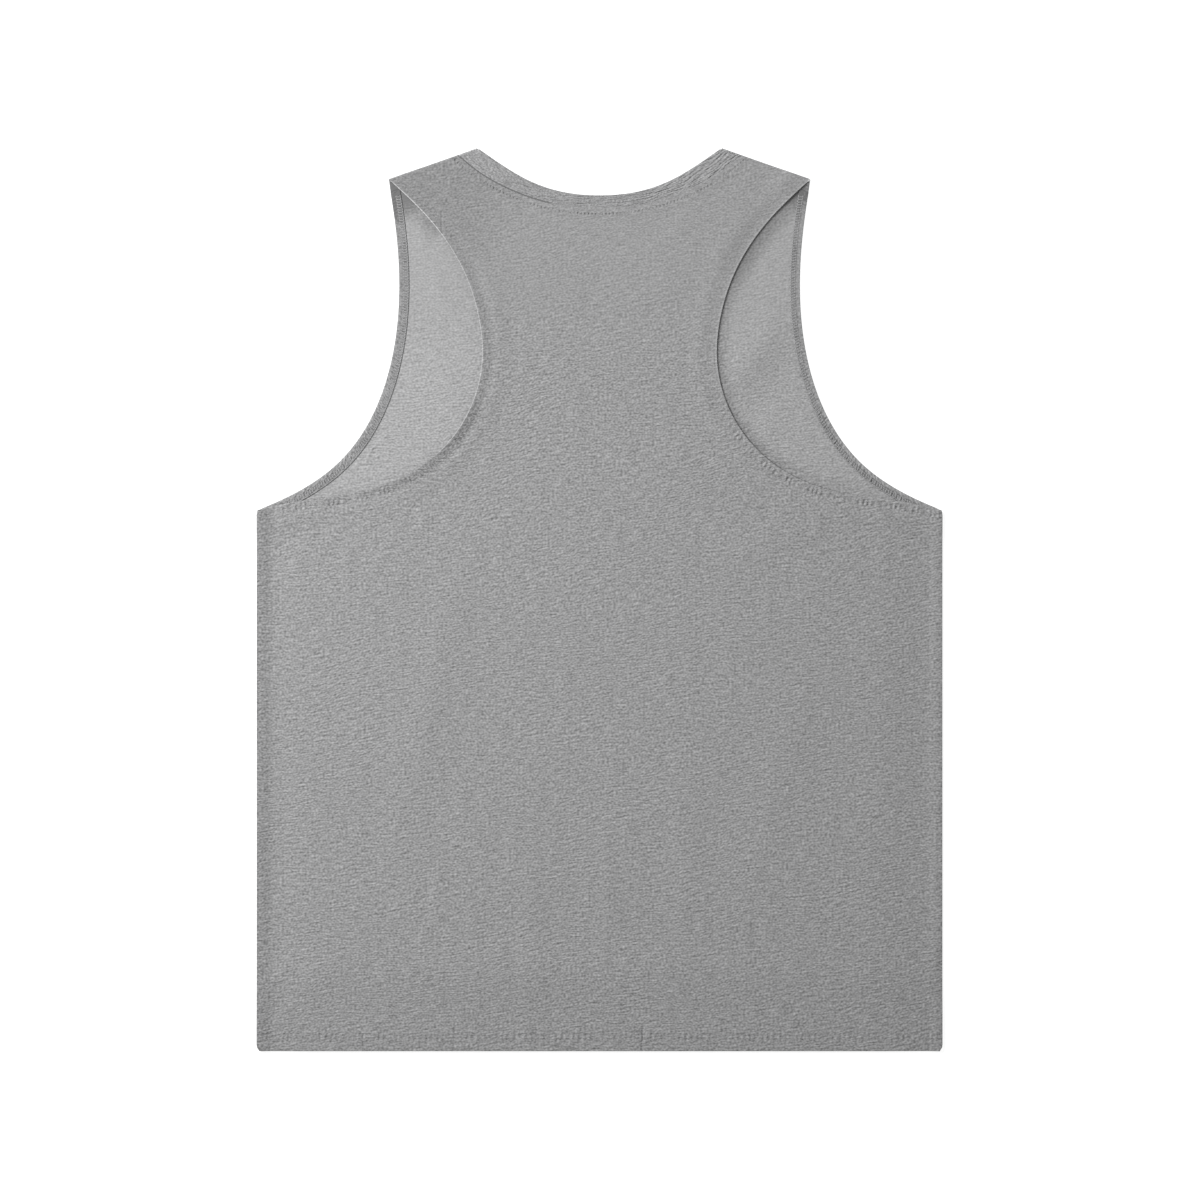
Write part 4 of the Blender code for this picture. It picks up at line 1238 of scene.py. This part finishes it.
class Value:
    """A number in a material's nodes. An expression on it adds Math nodes."""

    def __init__(self, look, socket):
        self.look = look
        self.socket = socket

    def _math(self, operation, *values):
        return self.look.node("ShaderNodeMath", {"operation": operation}, dict(enumerate(values)))

    def __add__(self, other):
        return self._math("ADD", self, other)

    __radd__ = __add__

    def __sub__(self, other):
        return self._math("SUBTRACT", self, other)

    def __rsub__(self, other):
        return self._math("SUBTRACT", other, self)

    def __mul__(self, other):
        return self._math("MULTIPLY", self, other)

    __rmul__ = __mul__

    def __truediv__(self, other):
        return self._math("DIVIDE", self, other)

    def __abs__(self):
        return self._math("ABSOLUTE", self)

    def fraction(self):
        """What is left of the number past its whole part."""
        return self._math("FRACT", self)

    def sine(self):
        """The sine of the number, in radians."""
        return self._math("SINE", self)

    def limited(self):
        """The number, kept between 0 and 1."""
        return self.look.node("ShaderNodeClamp", inputs={"Value": self})

    def above(self, low, high):
        """0 up to low, 1 from high on, and a soft rise between."""
        inputs = {"Value": self, "From Min": low, "From Max": high}
        return self.look.node("ShaderNodeMapRange", {"interpolation_type": "SMOOTHSTEP"}, inputs)

    def below(self, low, high):
        """1 up to low, 0 from high on, and a soft fall between."""
        return 1 - self.above(low, high)


class Look:
    """A material under construction, with one Principled shader."""

    def __init__(self, name, **uniform):
        self.material = bpy.data.materials.new(name)
        self.material.use_nodes = True
        self.tree = self.material.node_tree
        self.shader = self.tree.nodes["Principled BSDF"]
        for socket, value in uniform.items():
            self.shader.inputs[socket.replace("_", " ")].default_value = value

    def node(self, kind, settings=(), inputs=(), output=0):
        """Adds a node of any type: its settings first, then the values or links of its sockets."""
        made = self.tree.nodes.new(kind)
        for name, value in dict(settings).items():
            setattr(made, name, value)
        for name, value in dict(inputs).items():
            self.feed(made.inputs[name], value)
        socket = made.outputs[output]
        return Value(self, socket) if socket.type == "VALUE" else socket

    def feed(self, socket, value):
        """Links a socket to a value's node, or sets it."""
        source = value.socket if isinstance(value, Value) else value
        if isinstance(source, bpy.types.NodeSocket):
            self.tree.links.new(source, socket)
        else:
            socket.default_value = source

    def vector(self, operation, *values, output="Vector", **named):
        """A Vector Math node of the operation."""
        inputs = {**dict(enumerate(values)), **named}
        return self.node("ShaderNodeVectorMath", {"operation": operation}, inputs, output)

    def place(self, attribute):
        """One of the cloth's own attributes, in millimetres."""
        vector = self.node("ShaderNodeAttribute", {"attribute_name": attribute}, output="Vector")
        return self.vector("SCALE", vector, Scale=1000.0)

    def numbers(self, place):
        """The three numbers of a vector."""
        parts = self.node("ShaderNodeSeparateXYZ", inputs={0: place})
        return [Value(self, socket) for socket in parts.socket.node.outputs]

    def pair(self, x, y):
        """A vector of two numbers."""
        return self.node("ShaderNodeCombineXYZ", inputs={0: x, 1: y})

    def noise(self, place, wide, high, seed, detail=0.0):
        """Smooth noise from 0 to 1 whose grains are about this wide and high, in millimetres."""
        offset = (seed * 13.7, seed * 7.31, 0.0)
        spot = self.vector("MULTIPLY_ADD", place, (1 / wide, 1 / high, 0.0), offset)
        inputs = {"Vector": spot, "Scale": 1.0, "Detail": detail, "Roughness": 0.5}
        return self.node("ShaderNodeTexNoise", {"noise_dimensions": "2D"}, inputs, "Fac")

    def mix(self, share, one, other):
        """A colour between two colours."""
        settings = {"data_type": "RGBA", "clamp_factor": True}
        return self.node("ShaderNodeMix", settings, {0: share, 6: one, 7: other}, 2)

    def toned(self, colour, tone):
        """The colour, half as bright at a tone of -0.5 and half as bright again at 0.5."""
        return self.mix(0.5 + tone, shade(colour, 0.5), shade(colour, 1.5))

    def mottled(self, colour, spread, grains, detail, roughness):
        """The colour, up to a share darker or brighter in noise with this many grains to the metre."""
        place = self.node("ShaderNodeTexCoord", output="Object")
        inputs = {"Vector": place, "Scale": grains, "Detail": detail, "Roughness": roughness}
        tone = self.node("ShaderNodeTexNoise", {}, inputs, "Fac")
        return self.mix(tone, shade(colour, 1 - spread), shade(colour, 1 + spread))

    def finish(self, colour, height=None):
        """Feeds the shader its colour, and a bump from a height in millimetres."""
        self.feed(self.shader.inputs["Base Color"], colour)
        if height is not None:
            inputs = {"Height": height, "Strength": 1.0, "Distance": MM}
            self.feed(self.shader.inputs["Normal"], self.node("ShaderNodeBump", inputs=inputs))
        return self.material


def shade(colour, factor):
    """A colour made lighter or darker, with full opacity."""
    return (*(channel * factor for channel in colour), 1.0)


# A coverstitch in the cloth's bump: its rows of holes and the span of its ladder, from the edge or seam
# that the attribute measures from, its pitch, the spacing of the puckers across its ladder and the depths
# of its holes and puckers, all in millimetres; half a hole's depth also gives the painted shade in it.
# Above the height calm it pulls the cloth less: at the neck and hem nowhere, because that height is above
# all of the cloth.
Sewn = namedtuple("Sewn", "attribute rows ladder pitch wave holes rungs calm")
ABOVE_ALL = 2000.0


def stitch_dents(look, sewn, height, seed):
    """Dents of a coverstitch, in millimetres: a hole where each stitch ends in its rows, and puckers that
    cross its ladder, as deep as the thread happens to be tight there. Also the mask of the holes, by which
    painted shade darkens them."""
    place = look.place(sewn.attribute)
    along, away = look.numbers(place)[:2]
    tight = look.noise(place, 16.0, 60.0, seed, 1.0).above(0.32, 0.70) * 0.85 + 0.5
    tight = tight * (1 - height.above(sewn.calm, sewn.calm + 60.0) * 0.75)
    stretch = look.noise(place, 10.0, 40.0, seed + 0.5) * 4.5
    hole = (1 - abs((along / sewn.pitch).fraction() - 0.5) * 2).above(0.4, 1.0)
    holes = sum((abs(away - row).below(0.3, 1.1) * (0.25 + hole) for row in sewn.rows), 0.0) * tight
    low, high = sewn.ladder
    inside = away.above(low - 0.5, low + 1.5) * away.below(high - 1.5, high + 0.5)
    pucker = ((along + stretch) * (math.tau / sewn.wave)).sine() * inside * tight
    return holes * sewn.holes + pucker * sewn.rungs, holes


def crisp_crease(look, place, crease):
    """A narrow crease, in millimetres: it rises to its middle line, a straight one between two places of
    the cut, from half its spread on both sides."""
    run = np.array((crease.x1 - crease.x0, crease.y1 - crease.y0, 0.0))
    beyond_start = look.vector("SUBTRACT", place, (crease.x0, crease.y0, 0.0))
    share = look.vector("DOT_PRODUCT", beyond_start, tuple(run / (run @ run)), output="Value").limited()
    foot = look.vector("SCALE", tuple(run), Scale=share)
    away = look.vector("DISTANCE", beyond_start, foot, output="Value")
    return away.below(0.0, crease.spread) * crease.rise


def slub(look, cut, weave):
    """The tone and the relief of the yarns, which run across the body a little unevenly: thick and thin
    places, light and dark fibres and the grain of the loops. Both fade toward the shoulders."""
    x, y, _ = look.numbers(cut)
    drift = look.noise(cut, 110.0, 90.0, 1.0, 1.0)
    wave = look.noise(cut, 26.0, 18.0, 2.0, 1.0)
    yarn = look.pair(x, y - x * 0.10 + drift * 16.0 + wave * 2.6)
    thick = look.noise(yarn, weave.wide, weave.high, 3.0)
    streak = look.noise(yarn, weave.wide * 1.4, weave.high * 0.85, 4.0)
    loops = look.noise(yarn, weave.wide * 0.32, weave.high * 0.85, 6.0)
    grain = look.noise(yarn, 1.85, 1.3, 7.0)
    cloud = look.noise(cut, 70.0, 46.0, 9.0, 2.0)
    calm = 1 - y.above(540.0, 640.0) * 0.34
    tone = (streak - 0.5) * 0.85 + (loops - 0.5) * 0.7 + (grain - 0.5) * 2.0 + (cloud - 0.5) * 0.14
    height = ((thick - 0.5) * (cloud + 0.5) + (loops - 0.5) * 0.12) * calm * weave.bump
    return tone * calm * weave.contrast, height


def turned_hem_tone(look, armhole, right, y):
    """The painted tone of the turned armhole hem that shows in the windows: painted light along its fold
    and past its raw edge, painted shade along its needle line and between its rungs, as unevenly as its
    thread is tight."""
    away = look.numbers(armhole)[1]
    left = 1 - right
    low = y.below(500.0, 580.0)
    needle_row, raw = ARMHOLE_ROWS
    uneven = look.noise(armhole, 24.0, 60.0, 10.0, 1.0).above(0.3, 0.65) + 0.35
    rungs = away.above(needle_row - 0.2, needle_row + 0.3) * away.below(raw - 0.4, raw + 0.4)
    needle = abs(away - (needle_row - 0.2)).below(0.15, 0.75)
    lit = away.below(1.0, 4.2) * (right * TURNED_FOLD_LIGHT + left * low * TURNED_LOW_LIGHT)
    lit = lit + left * away.above(raw - 0.4, raw) * RAW_EDGE_LIGHT
    dark = (rungs * RUNG_SHADE + needle * (low * NEEDLE_LOW_SHADE + NEEDLE_SHADE)) * uneven
    return lit - TURNED_SHADE - dark


def jersey_look(name, colour, weave, sewn, creases, raw_step):
    """Slub jersey: its yarns and the painted light and shade that lie on it, with crisp creases. At the
    left it may be painted lighter beside the raw edge of its turned hem, by the share raw_step. Along
    sewing it has the painted tone of its hems, the painted rim light and shade on its folded edge, the
    painted shade in the gaping neck seam, and the dents of the stitches with painted shade in their holes."""
    look = Look(name, Roughness=0.92, **KNIT)
    cut = look.place("cut")
    _, y, turned = look.numbers(cut)
    # The light attribute: painted shade, the painted rim light and shade of the back's folded edge, and
    # the painted shade of the gaping neck seam.
    dim, rim, gape = look.numbers(look.place("light"))
    tone, height = slub(look, cut, weave)
    tone = tone - dim
    for crease in creases:
        height = height + crisp_crease(look, cut, crease)
    if raw_step:
        from_armhole, right = look.numbers(look.place("armhole"))[1:]
        step = from_armhole.above(7.4, 7.9) * from_armhole.below(8.7, 9.5)
        tone = tone + step * (1 - right.limited()) * (1 - turned) * raw_step
    if sewn:
        armhole = look.place("armhole")
        from_armhole, right = look.numbers(armhole)[1:]
        right = right.limited()
        for distance, (width, drop) in ((from_armhole, DOUBLED_ARMHOLE), (y, DOUBLED_HEM)):
            tone = tone - distance.below(width - 0.8, width + 0.8) * drop
        tone = tone + turned * turned_hem_tone(look, armhole, right, y)
        beside_rim = from_armhole.below(0.7, 2.3) * (1 - turned) * right
        tone = tone + rim.above(0.0, 1.0) * beside_rim * RIM_SIDE_LIGHT
        rim = rim * from_armhole.below(0.35, 0.95) * (1 - turned)
        seam_shade = gape * abs(look.numbers(look.place("neck"))[1] - 0.35).below(0.35, 1.2)
        tone = tone - (rim * -1.0).above(0.0, 1.0) * RIM_SHADE - seam_shade * GAPE_SHADE
        for seed, stitches in enumerate(sewn, 11):
            dents, holes = stitch_dents(look, stitches, y, seed)
            height = height - dents
            # Painted shade in the stitches' holes.
            tone = tone - holes * (stitches.holes * 0.5)
    colours = look.toned(colour, tone)
    if sewn:
        colours = look.mix(rim * RIM_SHARE, colours, shade(colour, RIM_BRIGHTNESS))
    return look.finish(colours, height)


def rib_look(name, colour):
    """The neckband's rib: fine ribs that run along the band, uneven in depth and tone."""
    look = Look(name, Roughness=0.9, **KNIT)
    cut = look.place("cut")
    x, y = look.numbers(cut)[:2]
    across = look.pair(x, y + look.noise(cut, 30.0, 9.0, 1.0, 1.0) * 2.2)
    rib = look.noise(across, 8.5, 1.35, 2.0)
    fine = look.noise(across, 2.1, 1.2, 3.0)
    grain = look.noise(across, 1.7, 1.1, 4.0)
    fibre = look.noise(across, 10.0, 0.9, 5.0)
    tone = ((grain - 0.5) * 2.0 + (fibre - 0.5) * 0.9) * 0.36
    return look.finish(look.toned(colour, tone), (rib - 0.5) * 1.15 + (fine - 0.5) * 0.45)


def thread_look(name, colour):
    """Spun sewing thread with an uneven tone."""
    look = Look(name, Roughness=0.7, Sheen_Weight=0.1, Specular_IOR_Level=0.35)
    return look.finish(look.mottled(colour, 0.28, 900.0, 2.0, 0.6))


def floor_look(name, colour, glow):
    """Matt white table, faintly mottled and lit from below."""
    lit = {"Emission_Color": WHITE, "Emission_Strength": glow}
    look = Look(name, Roughness=0.95, Specular_IOR_Level=0.1, **lit)
    return look.finish(look.mottled(colour, 0.01, 3.0, 1.0, 0.5))


def once(make, name, *values):
    """The material of this name, made the first time it is asked for."""
    return bpy.data.materials.get(name) or make(name, *values)


def panel_looks():
    """A panel's materials: its face along the sewing and away from it, each followed by the inside."""
    colours = bpy.context.scene.tank_top_cloth
    sewing = bpy.context.scene.tank_top_sewing
    armhole, neck, hem = (
        pitch / MM for pitch in (sewing.armhole_pitch, sewing.neck_pitch, sewing.hem_pitch)
    )
    sewn = (
        Sewn("armhole", ARMHOLE_ROWS, (2.6, 7.8), armhole, wave=4.6, holes=0.06, rungs=0.36, calm=490.0),
        Sewn("neck", NECK_ROWS[1:], (3.4, 6.2), neck, wave=3.4, holes=0.34, rungs=0.12, calm=ABOVE_ALL),
        Sewn("cut", HEM_ROWS, (8.2, 14.8), hem, wave=4.8, holes=0.12, rungs=0.20, calm=ABOVE_ALL),
    )
    face = colours.face_colour
    near_sewing = once(jersey_look, "heather_face_sewn", face, FACE_WEAVE, sewn, CRISP_FACE_CREASES, 0.0)
    plain = once(jersey_look, "heather_face", face, FACE_WEAVE, (), (), 0.0)
    inside_values = (colours.inside_colour, INSIDE_WEAVE, (), CRISP_INSIDE_CREASES, RAW_STEP_LIGHT)
    inner = once(jersey_look, "heather_inside", *inside_values)
    return [near_sewing, inner, plain, inner]


def finished(piece, node):
    """Hides the solid that a sheet of cloth replaces, and hangs the sheet under the root body."""
    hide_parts(node)
    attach(piece, "root")


class TANKTOP_OT_front(bpy.types.Operator):
    """Lay the front panel face down, with its hems turned up onto it"""

    bl_idname = "tanktop.front"
    bl_label = "Front"

    def execute(self, context):
        guide = Guide(extended(FRONT_ARMHOLE_LINE), FRONT_SEAM_LINE, FRONT_SHADES)
        piece = cloth("front_panel", front_half(1) + front_half(-1), jersey(), -1, panel_looks(), guide)
        finished(piece, "front")
        return {"FINISHED"}


class TANKTOP_OT_back(bpy.types.Operator):
    """Lay the back panel on the front, with its hems turned under and its shoulders over the folds"""

    bl_idname = "tanktop.back"
    bl_label = "Back"

    def execute(self, context):
        guide = Guide(extended(BACK_ARMHOLE_LINE), BACK_SEAM_LINE, BACK_SHADES)
        piece = cloth("back_panel", back_half(1) + back_half(-1), jersey(), 1, panel_looks(), guide)
        finished(piece, "back")
        return {"FINISHED"}


class TANKTOP_OT_neckband(bpy.types.Operator):
    """Set the folded rib band into the neck"""

    bl_idname = "tanktop.neckband"
    bl_label = "Neckband"

    def execute(self, context):
        settings = context.scene.tank_top_cloth
        grid, length, width = neckband_grid(settings.rib)
        look = once(rib_look, "heather_rib", settings.rib_colour)
        piece = cloth("neck_rib", [grid], settings.rib, 1, [look], weld=0.0)
        finished(piece, "neckband")
        return {"FINISHED"}


# A run of sewing: its curve, the lengths along it where it starts and ends, the level of the face that it
# lies on, which changes with the plan point and the side, and that face's outward direction.
Run = namedtuple("Run", "curve first last level up")


def on_back(plan, side):
    """The level of the back's upper face."""
    return back_level(plan, side) + jersey() / 2


def under_front(plan, side):
    """The level of the front's lower face, which lies on the table."""
    return LOWER_MIDDLE - jersey() / 2


def on_front_hem(plan, side):
    """The level of the upper face of the front's turned hem."""
    return LOWER_MIDDLE + LAYER + jersey() / 2


def stitched(run, side, pitch, depths, fill, advance):
    """The stitches of one row, one to a pitch: where they start and end, at two depths into the cloth
    from the run's curve, and their upward directions. Half of what the share fill leaves of the pitch lies
    before each, and each ends further along by the share advance of the pitch."""
    count = int((run.last - run.first) / pitch)
    begin = run.first + (np.arange(count) + (1 - fill) / 2) * pitch
    starts, ends = (
        at(run.curve, marks) + square_to(run.curve, marks) * depth
        for marks, depth in zip((begin, begin + advance * pitch), depths)
    )
    places = [spatial(plan, run.level(plan, side), side) for plan in (starts, ends)]
    return (*places, np.tile(run.up, (count, 1)))


def needle_rows(rows, pitch, back, front):
    """The needle threads of rows in millimetres from both panels' curves, at the right and the left."""
    return [
        stitched(run, side, pitch, (row * MM, row * MM), STITCH_FILL, STITCH_FILL)
        for side in (1, -1)
        for row in rows
        for run in (back, front)
    ]


def sewn_piece(name, stitches, section=NEEDLE_SECTION):
    """A piece of sewing that rides on the garment."""
    sewing = bpy.context.scene.tank_top_sewing
    look = once(thread_look, "sewing_thread", sewing.thread_colour)
    breadth, height = (sewing.thread * share for share in section)
    piece = threads(name, stitches, breadth, height, look)
    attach(piece, "root")
    return piece


class TANKTOP_OT_neck_sewing(bpy.types.Operator):
    """Sew the two rows of coverstitch below the neckband's seam"""

    bl_idname = "tanktop.neck_sewing"
    bl_label = "Neck sewing"

    def execute(self, context):
        pitch = context.scene.tank_top_sewing.neck_pitch
        first = length_at_depth(FRONT_SEAM_CURVE, PAST_SHOULDER_SEAM)
        back = Run(BACK_SEAM_CURVE, FOLD_MARGIN, lengths_of(BACK_SEAM_CURVE)[-1], on_back, UP)
        front = Run(FRONT_SEAM_CURVE, first, lengths_of(FRONT_SEAM_CURVE)[-1], under_front, DOWN)
        sewn_piece("neck_coverstitch", needle_rows(NECK_ROWS, pitch, back, front))
        return {"FINISHED"}


class TANKTOP_OT_armhole_sewing(bpy.types.Operator):
    """Sew the armhole hems: needle rows on the face, and the looper's rungs on the inside"""

    bl_idname = "tanktop.armhole_sewing"
    bl_label = "Armhole sewing"

    def execute(self, context):
        pitch = context.scene.tank_top_sewing.armhole_pitch
        back_end = lengths_of(BACK_ARMHOLE_CURVE)[-1] - FOLD_MARGIN
        front_end = length_at_depth(FRONT_ARMHOLE_CURVE, PAST_SHOULDER_SEAM)
        back = Run(BACK_ARMHOLE_CURVE, SIDE_MARGIN, back_end, on_back, UP)
        front = Run(FRONT_ARMHOLE_CURVE, SIDE_MARGIN, front_end, under_front, DOWN)
        sewn_piece("armhole_needle_rows", needle_rows(ARMHOLE_ROWS, pitch, back, front))

        turned = Run(FRONT_ARMHOLE_CURVE, SIDE_MARGIN, front_end, on_front_hem, UP)
        outer, inner = (row * MM for row in ARMHOLE_ROWS)
        past_inner, past_outer = RUNG_OVERLAPS
        looper = []
        for side in (1, -1):
            depths = (inner + past_inner, outer + past_outer)
            looper.append(stitched(turned, side, pitch, depths, STITCH_FILL, RUNG_SLANT))
            for depth in (outer, inner):
                looper.append(stitched(turned, side, pitch, (depth, depth), LOOPER_FILL, LOOPER_FILL))
        sewn_piece("armhole_looper_rungs", looper, LOOPER_SECTION)
        return {"FINISHED"}


class TANKTOP_OT_hem_sewing(bpy.types.Operator):
    """Sew the two rows along the bottom hem, on the back and on the front"""

    bl_idname = "tanktop.hem_sewing"
    bl_label = "Hem sewing"

    def execute(self, context):
        pitch = context.scene.tank_top_sewing.hem_pitch
        edge = np.array(((0.0, 0.0), (HALF_CHEST, 0.0)))
        back = Run(edge, 0.0, HALF_CHEST - SIDE_MARGIN, on_back, UP)
        front = Run(edge, 0.0, HALF_CHEST - SIDE_MARGIN, under_front, DOWN)
        sewn_piece("hem_needle_rows", needle_rows(HEM_ROWS, pitch, back, front))
        return {"FINISHED"}


class TANKTOP_OT_stage(bpy.types.Operator):
    """Set the floor, the lights and the camera straight above"""

    bl_idname = "tanktop.stage"
    bl_label = "Stage"

    def execute(self, context):
        stage = context.scene.tank_top_stage
        mesh = bpy.data.meshes.new("floor")
        square = np.array(((-1, -1), (1, -1), (1, 1), (-1, 1))) * FLOOR_REACH
        mesh.from_pydata([(x, y, FLOOR_LEVEL) for x, y in square], [], [(0, 1, 2, 3)])
        mesh.materials.append(floor_look("white_table", stage.floor_colour, stage.floor_glow))
        placed("floor", mesh)

        key = bpy.data.lights.new("key", "AREA")
        key.energy = stage.key_power
        key.shape = "DISK"
        key.size = KEY_BREADTH
        lamp = placed("key", key)
        lamp.location = KEY_PLACE
        lamp.rotation_mode = "QUATERNION"
        lamp.rotation_quaternion = (-lamp.location.normalized()).to_track_quat("-Z", "Y")

        world = bpy.data.worlds.new("studio")
        world.use_nodes = True
        background = world.node_tree.nodes["Background"]
        background.inputs["Color"].default_value = WHITE
        background.inputs["Strength"].default_value = stage.sky
        context.scene.world = world

        lens = bpy.data.cameras.new("overhead")
        lens.lens = lens.sensor_width * stage.camera_height / stage.frame_width
        camera = placed("overhead", lens)
        camera.location = (*CAMERA_PLACE, stage.camera_height)
        context.scene.camera = camera
        context.scene.view_settings.view_transform = "Standard"
        return {"FINISHED"}


class TANKTOP_PT_panel(bpy.types.Panel):
    """The garment's settings and its steps, in their order"""

    bl_idname = "TANKTOP_PT_panel"
    bl_label = "Tank top"
    bl_space_type = "VIEW_3D"
    bl_region_type = "UI"
    bl_category = "Tank top"

    def draw(self, context):
        for name, group in GROUPS.items():
            box = self.layout.box()
            for setting in group.__annotations__:
                box.prop(getattr(context.scene, name), setting)
        for step in STEPS:
            self.layout.operator(step.bl_idname)


GROUPS = {
    "tank_top_cloth": TankTopCloth,
    "tank_top_sewing": TankTopSewing,
    "tank_top_stage": TankTopStage,
}
STEPS = (
    TANKTOP_OT_stage,
    TANKTOP_OT_front,
    TANKTOP_OT_back,
    TANKTOP_OT_neckband,
    TANKTOP_OT_neck_sewing,
    TANKTOP_OT_armhole_sewing,
    TANKTOP_OT_hem_sewing,
)
CLASSES = (*GROUPS.values(), *STEPS, TANKTOP_PT_panel)


def register():
    for kind in CLASSES:
        bpy.utils.register_class(kind)
    for name, group in GROUPS.items():
        setattr(bpy.types.Scene, name, bpy.props.PointerProperty(type=group))


def unregister():
    for name in GROUPS:
        delattr(bpy.types.Scene, name)
    for kind in reversed(CLASSES):
        bpy.utils.unregister_class(kind)


def main():
    register()
    bpy.ops.tanktop.stage()
    bpy.ops.tanktop.front()
    bpy.ops.tanktop.back()
    bpy.ops.tanktop.neckband()
    bpy.ops.tanktop.neck_sewing()
    bpy.ops.tanktop.armhole_sewing()
    bpy.ops.tanktop.hem_sewing()


if __name__ == "__main__":
    main()
